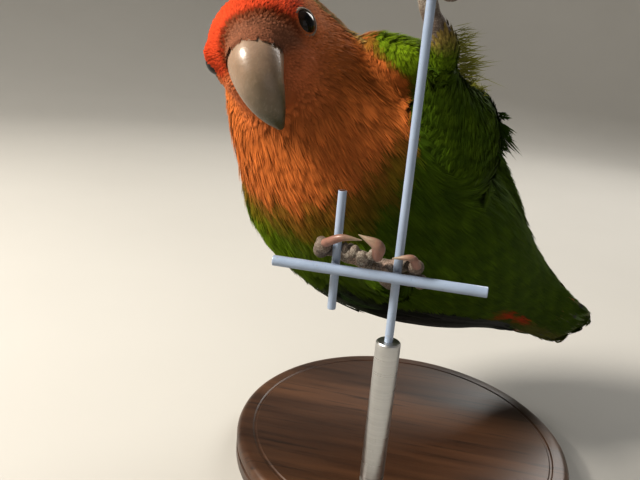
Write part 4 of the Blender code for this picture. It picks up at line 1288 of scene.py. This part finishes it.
RIGHT_FOOT = SimpleNamespace(
    sole=((-9.6, -25.6, 57.6), 2.3),
    toes=(((-9.6, -25.4, 57.8), (-14.4, -25.3, 59.2), (-18.2, -26.1, 60.4), (-19.1, -28.6, 61.4), (-18.3, -31, 62.5)),
          ((-9.6, -25.6, 58.2), (-11.8, -26.2, 60), (-13.6, -27.0, 61.6), (-11, -28.4, 60.9), (-8.4, -29.9, 61.4)),
          ((-9.6, -25.6, 57.4), (-7.2, -25.9, 58.4), (-3.6, -26.2, 59.2), (-1.2, -27.7, 59.9), (-.5, -29.9, 60.4)),
          ((-9.6, -25.4, 57), (-7.2, -24.6, 56.4), (-4.4, -24.3, 56.1), (-1.8, -24.9, 56.1), (.6, -26.4, 56.4))),
    claws=(((-17.7, -32.1, 63.4), (-14.6, -33.5, 65.2), (-10.9, -33.6, 65.3)),
           ((-7.9, -31.3, 61.9), (-8, -32.6, 64.4), (-11.6, -32.7, 66)),
           ((-.5, -31.1, 61.2), (-1.6, -32.6, 62.9), (-4.9, -32.9, 62.5)),
           ((1.8, -27.2, 56.7), (4, -28.1, 56.9), (6.3, -28.5, 57))),
    pads=(((-14.6, -28.3, 61.7), (0.75, 0.9, 1.2)), ((-12.5, -29.1, 61.5), (1.0, 1.0, 1.35)),
          ((-10.8, -29.8, 60.5), (1.2, 1.1, 1.65)), ((-9.0, -30.1, 61.7), (0.85, 0.95, 1.2)),
          ((-7.9, -27.7, 58.5), (1.0, 1.0, 0.95)), ((-5.8, -27.8, 58.8), (1.0, 1.0, 0.95)),
          ((-19.2, -28.3, 60.6), (1.6, 1.4, 1.6)), ((-19.4, -27.6, 62.2), (1.1, 1.1, 1.0))),
    radii=((1.30, 1.35), (0.7, 0.75), (1.30, 1.35), (1.30, 1.35)), claw_radii={2: (1.05, 1.3, 0.12)},
    shank=(((-4.2, -13.4, 50.8), 1.9), ((-5.9, -17.6, 52.6), 1.9), ((-8, -21.4, 55.4), 1.65), ((-9.6, -24.8, 57.6), 1.8)))
LEFT_FOOT = SimpleNamespace(
    sole=((-6.2, -25.5, 113.2), 2.3),
    pads=(), radii=((1.60, 1.45),) * 4, claw_radii={},
    toes=(((-6.2, -25.5, 113.4), (-7.3, -26.6, 115.6), (-7.3, -29.2, 116.9), (-5.2, -31.3, 117.3)),
          ((-6.2, -25.5, 113), (-7.4, -26.9, 112.5), (-7.3, -29.3, 111.9), (-5.2, -31.3, 111.6)),
          ((-6.2, -25.5, 113.6), (-2.6, -25.3, 115), (-.8, -27.6, 114.6), (-1.2, -30.2, 114.4)),
          ((-6.2, -25.5, 112.6), (-3.2, -25.2, 111.4), (-.8, -27.2, 109.6), (-1.1, -30.2, 109.2))),
    claws=(((-4.1, -32.1, 117.4), (-1.8, -32.6, 117.7), (.3, -30.8, 117.9)),
           ((-4.1, -32.1, 111.6), (-1.8, -32.7, 111.7), (.4, -31, 112)),
           ((-2, -31.3, 114.4), (-4.3, -32.6, 114.4), (-6.9, -31.3, 114.3)),
           ((-1.9, -31.3, 109.2), (-4.2, -32.6, 109.1), (-6.8, -31.3, 109))),
    shank=(((-1.2, -20.2, 96.0), 2.15), ((-1, -22.2, 100.4), 2.25), ((-4.2, -24, 106), 1.75), ((-6.2, -25.4, 112.4), 1.95)))
TOE_PADS = 4
PAD_SWELL = 0.14
CLAW_RADII = (0.98, 0.80, 0.13)
SHANK_SHADE = 0.6
FOOT_VOXEL = 0.17
SCALE_SIZE = 0.36
SCALE_RISE = 0.055


def closed_tube(rings, start, end):
    count, sides = rings.shape[:2]
    grid = 1 + np.arange(count * sides).reshape(count, sides)
    step = np.roll(grid, -1, axis=1)
    quads = np.stack([grid[:-1], grid[1:], step[1:], step[:-1]], axis=-1).reshape(-1, 4)
    caps = np.vstack([np.stack([np.zeros(sides, int), grid[0], step[0]], axis=-1),
                      np.stack([np.full(sides, count * sides + 1), step[-1], grid[-1]], axis=-1)])
    return np.vstack([start, rings.reshape(-1, 3), end]), np.vstack([both_triangles(quads), caps])


def build_foot(side, foot, skin_material, claw_material):
    """Toes, sole and shank as one granular skin, and four smooth claws."""
    tubes = []
    for path, ends in zip(foot.toes, foot.radii):
        radii = np.linspace(*ends, len(path))
        tubes.append(closed_tube(*tube_rings(path, radii, 60, 28, PAD_SWELL, TOE_PADS)))
    centres, radii = zip(*foot.shank)
    tubes.append(closed_tube(*tube_rings(centres, radii, 60, 32, 0.03, 7)))
    for centre, radii in ((foot.sole[0], (foot.sole[1],) * 3), *foot.pads):
        polar = np.linspace(0, math.pi, 22)[1:-1]
        ball = turned_rings(np.stack([np.sin(polar), np.cos(polar)], axis=1), (0, 0, 0), (0, 0, 1), 28) * radii
        pole = np.array((0, 0, radii[2]))
        tubes.append(closed_tube(ball + centre, centre + pole, centre - pole))
    points, triangles, _ = gathered(tubes)
    points, quads, edges = remeshed(points, triangles, FOOT_VOXEL, 3, "rough_foot")
    normals = vertex_normals(points, both_triangles(quads))
    cell = np.empty(len(points))
    for number, point in enumerate(points):
        near = noise.voronoi(Vector(point / SCALE_SIZE))[0]
        cell[number] = near[1] - near[0]
    relief = np.clip(cell * 2.2, 0, 1) ** 0.6
    points = points + normals * ((relief - 0.7) * SCALE_RISE)[:, None]
    foot_points = points
    made = mesh_object(f"scaly_foot_{side}", points, quads, [skin_material])
    # Painted shade: the skin darkens away from the sole, up the shank
    shaded = smoothstep(4, 9, np.linalg.norm(points - np.array(foot.sole[0]), axis=1))
    add_attribute(made.data, "tone", relief * (1 - SHANK_SHADE * shaded))
    unwrap(made)
    piece(made, "scaly_skin", f"foot_{side}", f"shank_{side}")
    for number, path in enumerate(foot.claws, 1):
        rings, start, end = tube_rings(path, foot.claw_radii.get(number, CLAW_RADII), 44, 28, oval=0.86)
        claw, points, _ = rings_object(f"horn_claw_{side}_{number}", rings, start, end, [claw_material])
        share = np.concatenate([[0], np.repeat(np.linspace(0, 1, len(rings)), 28), [1]])
        add_attribute(claw.data, "along", share)
        piece(claw, "claw", f"claw_{side}_{number}")
    return SimpleNamespace(points=points_of(made.data), quads=quads, normals=normals, tree=tree_of(foot_points, quads),
                           uv=loop_places(made))


def foot_material():
    """Dry grey scales with darker, pinker grooves, and painted shade that the tone carries up the shank."""
    nodes = Nodes("foot_scales")
    tone = nodes.attribute("tone").outputs["Fac"]
    cloud = nodes.noise(420.0)
    pale = nodes.mix(nodes.ramp(cloud, (0.35, 0.65), (0, 1)), (0.31, 0.275, 0.225), (0.44, 0.405, 0.35))
    blush = nodes.math("MULTIPLY", nodes.ramp(nodes.noise(210.0), (0.52, 0.66), (0, 0.6)), 1.0, clamp=True)
    pale = nodes.mix(blush, pale, (0.36, 0.22, 0.165))
    groove = nodes.mix(cloud, (0.110, 0.080, 0.060), (0.150, 0.110, 0.085))
    colour = nodes.mix(nodes.math("MULTIPLY", nodes.ramp(tone, (0.15, 0.75), (0, 1)), 1.0, clamp=True), groove, pale)
    nodes.shade(Base_Color=colour, Roughness=0.72)
    nodes.bump(nodes.noise(5200.0), 0.02, 0.6)
    return nodes.material


def claw_material():
    nodes = Nodes("claw_horn")
    along = nodes.attribute("along").outputs["Fac"]
    streak = nodes.noise(900.0, detail=4.0)
    place = nodes.math("ADD", along, nodes.math("MULTIPLY", nodes.math("SUBTRACT", streak, 0.5), 0.3))
    tip = nodes.math("MULTIPLY", nodes.ramp(place, (0.45, 0.95), (0, 1)), 1.0, clamp=True)
    colour = nodes.mix(tip, (0.27, 0.145, 0.11), (0.34, 0.28, 0.20))
    colour = nodes.mix(nodes.ramp(streak, (0.5, 0.75), (0, 0.6)), colour, (0.12, 0.075, 0.06))
    nodes.shade(Base_Color=colour, Roughness=0.38)
    nodes.bump(streak, 0.03, 0.6)
    return nodes.material


CROSS_WIRE = ((-28.0, -31.05, 58.0), (13.0, -31.05, 58.0), 1.05)
UPRIGHT_WIRE = ((-4.0, -28.85, 32.0), (-4.0, -28.85, 124.0), 0.85)
STUB_WIRE = ((-16.0, -28.85, 49.0), (-16.0, -28.85, 73.0), 0.85)
WIRE_RINGS = 260
WIRE_SIDES = 40


def wire_rings(low, high, radius, seed):
    """Rings of a coated wire, a little uneven, with a cut face at each end."""
    low, high = np.array(low), np.array(high)
    axis = unit(high - low)
    side = unit(np.cross(axis, (0.31, 0.17, 0.93)))
    other = np.cross(axis, side)
    share = np.concatenate([[0, 0.0006, 0.002], np.linspace(0.005, 0.995, WIRE_RINGS), [0.998, 0.9994, 1]])
    size = np.ones(len(share))
    size[[0, -1]], size[[1, -2]], size[[2, -3]] = 0.90, 0.96, 0.99
    turns = np.linspace(0, 2 * math.pi, WIRE_SIDES, endpoint=False)
    length = np.linalg.norm(high - low)
    rings = []
    for place, scale in zip(share, size):
        centre = low + (high - low) * place
        ripple = [noise.noise(Vector((place * length * 0.45 + seed, math.cos(t), math.sin(t)))) for t in turns]
        sizes = radius * scale * (1 + 0.022 * np.array(ripple))
        rings.append(centre + sizes[:, None] * (np.cos(turns)[:, None] * side + np.sin(turns)[:, None] * other))
    core = [low + (ring - low) * 0.72 for ring in rings[:1]]
    tail = [high + (ring - high) * 0.72 for ring in rings[-1:]]
    return np.array(core + rings + tail), low, high


def build_wire(name, node, ends, seed, material):
    rings, start, end = wire_rings(*ends, seed)
    made, points, _ = rings_object(name, rings, start, end, [material])
    axis = unit(np.array(ends[1]) - np.array(ends[0]))
    away = points - np.array(ends[0])
    inset = np.linalg.norm(away - dot(away, axis)[:, None] * axis, axis=1) / ends[2]
    near_end = np.minimum(dot(away, axis), dot(np.array(ends[1]) - points, axis))
    add_attribute(made.data, "core", np.where(near_end < 0.01, smoothstep(0.80, 0.70, inset), 0.0))
    piece(made, "coated_wire", node)


def build_weld(name, x, material):
    """The melted coat between the cross wire and an upright, with a small drip under it."""
    polar = np.linspace(0, math.pi, 26)[1:-1]
    centre = np.array((x, -30.0, 58.0))
    rings = turned_rings(np.stack([np.sin(polar), np.cos(polar)], axis=1), (0, 0, 0), (0, 0, 1), 40)
    shape = rings * (1.12, 0.90, 1.22)
    shape = shape + (0, -0.25, -0.1) * np.array([1.0])
    drip = smoothstep(-0.4, -1.2, shape[..., 2]) * 0.18
    shape = shape + np.stack([0 * drip, 0 * drip, -drip], axis=-1)
    made, points, _ = rings_object(name, centre + shape, centre + shape[0].mean(0) + (0, 0, 0.01),
                                   centre + shape[-1].mean(0) - (0, 0, 0.01), [material])
    add_attribute(made.data, "core", np.zeros(len(points)))
    piece(made, "coated_wire")


def wire_material():
    """Pale blue-grey coating with small pits, and bare steel in a cut end."""
    nodes = Nodes("wire_coating")
    core = nodes.attribute("core").outputs["Fac"]
    cloud = nodes.noise(160.0)
    colour = nodes.mix(cloud, (0.28, 0.34, 0.45), (0.36, 0.43, 0.54))
    grime = nodes.noise(1400.0, detail=5.0)
    colour = nodes.mix(nodes.ramp(grime, (0.62, 0.74), (0, 0.5)), colour, (0.28, 0.27, 0.27))
    colour = nodes.mix(core, colour, (0.40, 0.40, 0.40))
    nodes.shade(Base_Color=colour, Roughness=nodes.ramp(grime, (0.3, 0.7), (0.26, 0.42)), Metallic=core)
    nodes.shader.inputs["Coat Weight"].default_value = 0.3
    nodes.shader.inputs["Coat Roughness"].default_value = 0.12
    nodes.bump(nodes.noise(700.0, detail=4.0), 0.05, 0.5)
    return nodes.material


BASE_PROFILE = ((0.6, 0.0), (40.2, 0.0), (40.7, 0.25), (41.0, 0.8), (41.0, 3.0), (40.6, 3.3), (40.6, 3.8), (41.0, 4.1),
                (41.0, 5.6), (40.7, 6.3), (40.1, 6.8), (39.3, 7.0), (37.2, 7.0), (36.9, 6.8), (36.5, 6.8), (36.2, 7.0),
                (0.6, 7.0))
ROD_PROFILE = ((2.1, 7.3), (2.5, 7.7), (2.5, 12.0), (2.35, 12.2), (2.35, 12.6), (2.5, 12.8), (2.5, 43.4), (2.42, 43.75),
               (2.15, 44.0))
ROD_PLACE = (-4.0, -28.85)


def close_profile(profile, steps):
    """A profile with its straight runs cut into short steps and its corners kept."""
    rows = [np.array(profile[0])]
    for low, high in zip(profile, profile[1:]):
        count = max(1, int(math.dist(low, high) / steps))
        rows.extend(np.array(low) + (np.array(high) - np.array(low)) * k / count for k in range(1, count + 1))
    return np.array(rows)


def build_stand(wood, steel):
    base = close_profile(BASE_PROFILE, 1.6)
    rings = turned_rings(base, (0, 0, 0), (0, 0, 1), 160)
    made, _, _ = rings_object("stand_base_turned", rings, (0, 0, 0), (0, 0, 7.0), [wood])
    made.data.set_sharp_from_angle(angle=math.radians(32))
    piece(made, "dark_wood", "stand_base")
    rod = close_profile(ROD_PROFILE, 0.8)
    rings = turned_rings(rod, (*ROD_PLACE, 0), (0, 0, 1), 64)
    made, _, _ = rings_object("stand_rod_turned", rings, (*ROD_PLACE, 7.3), (*ROD_PLACE, 44.0), [steel])
    made.data.set_sharp_from_angle(angle=math.radians(32))
    piece(made, "steel", "stand_rod")


def wood_material():
    nodes = Nodes("varnished_wood")
    grain = nodes.noise(70.0, detail=6.0, stretch=(0.12, 1.6, 1.0))
    pores = nodes.noise(800.0, detail=3.0, stretch=(0.06, 1.4, 1.0))
    colour = nodes.mix(nodes.ramp(grain, (0.35, 0.65), (0, 1)), (0.030, 0.013, 0.007), (0.105, 0.048, 0.022))
    colour = nodes.mix(nodes.ramp(pores, (0.56, 0.70), (0, 0.7)), colour, (0.012, 0.006, 0.004))
    nodes.shade(Base_Color=colour, Roughness=nodes.ramp(grain, (0.3, 0.7), (0.34, 0.46)))
    nodes.shader.inputs["Coat Weight"].default_value = 0.25
    nodes.shader.inputs["Coat Roughness"].default_value = 0.25
    nodes.bump(pores, 0.05, 0.35)
    return nodes.material


def steel_material():
    nodes = Nodes("turned_steel")
    lines = nodes.noise(900.0, detail=4.0, stretch=(0.05, 0.05, 3.0))
    colour = nodes.mix(lines, (0.46, 0.46, 0.46), (0.62, 0.62, 0.61))
    nodes.shade(Base_Color=colour, Roughness=nodes.ramp(lines, (0.3, 0.7), (0.26, 0.40)))
    nodes.shader.inputs["Metallic"].default_value = 1.0
    nodes.bump(lines, 0.02, 0.4)
    return nodes.material


def build_stage():
    """A pale floor that rises all round into a backdrop."""
    turns = np.linspace(0, 2 * math.pi, 97)[:-1]
    profile = [(0.001, 0.0), (600.0, 0.0)]
    profile += [(600 + 500 * math.sin(a), 500 - 500 * math.cos(a)) for a in np.linspace(0.1, math.pi / 2, 12)]
    profile += [(1100.0, 1600.0)]
    points = np.array([(r * math.cos(a), r * math.sin(a), z - 0.05) for r, z in profile for a in turns])
    grid = np.arange(len(points)).reshape(len(profile), -1)
    step = np.roll(grid, -1, axis=1)
    faces = np.stack([grid[:-1], step[:-1], step[1:], grid[1:]], axis=-1).reshape(-1, 4)[:, ::-1]
    nodes = Nodes("floor_paper")
    tint = nodes.mix(nodes.noise(9.0), (0.50, 0.485, 0.455), (0.54, 0.525, 0.495))
    nodes.shade(Base_Color=tint, Roughness=0.9)
    mesh_object("floor", points, faces, [nodes.material])


def area_light(name, place, aim, size, power, colour):
    lamp = bpy.data.lights.new(name, "AREA")
    lamp.size = size * MM
    lamp.energy = power
    lamp.color = colour
    made = bpy.data.objects.new(name, lamp)
    made.location = Vector(place) * MM
    made.rotation_euler = (Vector(aim) - Vector(place)).to_track_quat("-Z", "Y").to_euler()
    bpy.context.scene.collection.objects.link(made)


def build_lights():
    world = bpy.data.worlds.new("studio")
    world.use_nodes = True
    world.node_tree.nodes["Background"].inputs["Color"].default_value = (0.86, 0.92, 1.0, 1)
    world.node_tree.nodes["Background"].inputs["Strength"].default_value = 0.17
    bpy.context.scene.world = world
    aim = (0, 0, 70)
    area_light("key", (-490, -225, 500), aim, 180, 7.6, (1.0, 0.95, 0.87))
    area_light("fill", (420, -420, 240), aim, 420, 0.3, (0.88, 0.94, 1.0))
    area_light("rim", (180, 460, 420), aim, 300, 1.6, (1.0, 0.98, 0.95))
    view = bpy.context.scene.view_settings
    view.view_transform = "Standard"
    view.exposure = 0.25
    view.gamma = 0.82


def build_camera():
    data = bpy.data.cameras.new("camera")
    data.lens = CAMERA_LENS
    data.sensor_width = CAMERA_SENSOR
    data.clip_start = 0.005
    made = bpy.data.objects.new("camera", data)
    right, up = unit(CAMERA_RIGHT), unit(CAMERA_UP)
    turn = Matrix(np.stack([right, up, np.cross(right, up)], axis=1).tolist()).to_4x4()
    made.matrix_world = Matrix.Translation(Vector(CAMERA_PLACE) * MM) @ turn
    bpy.context.scene.collection.objects.link(made)
    bpy.context.scene.camera = made


def main():
    plumage = plumage_material("plumage")
    skin = build_skin(plumage)
    build_coat(skin, plumage)
    build_fringe(skin, plumage)
    flight = flight_material()
    build_wing(skin, "right", RIGHT_WING, "dark_green", flight)
    build_wing(skin, "left", LEFT_WING, "dark_green", flight)
    build_tail(skin, tail_material())
    eye, lid = eye_material(), lid_material()
    build_eye("left", 1, eye, lid)
    build_eye("right", -1, eye, lid)
    build_bill(horn_material())
    scales, claw = foot_material(), claw_material()
    leg = build_foot("left", LEFT_FOOT, scales, claw)
    build_trousers(leg, LEFT_FOOT.shank, plumage)
    build_strays(skin, plumage)
    build_foot("right", RIGHT_FOOT, scales, claw)
    coating = wire_material()
    build_wire("cross_wire", "perch_cross_wire", CROSS_WIRE, 0.0, coating)
    build_wire("upright_wire", "perch_upright_wire", UPRIGHT_WIRE, 50.0, coating)
    build_wire("stub_wire", "perch_stub_wire", STUB_WIRE, 90.0, coating)
    build_weld("weld_upright", -4.0, coating)
    build_weld("weld_stub", -16.0, coating)
    build_stand(wood_material(), steel_material())
    build_stage()
    build_lights()
    build_camera()


main()
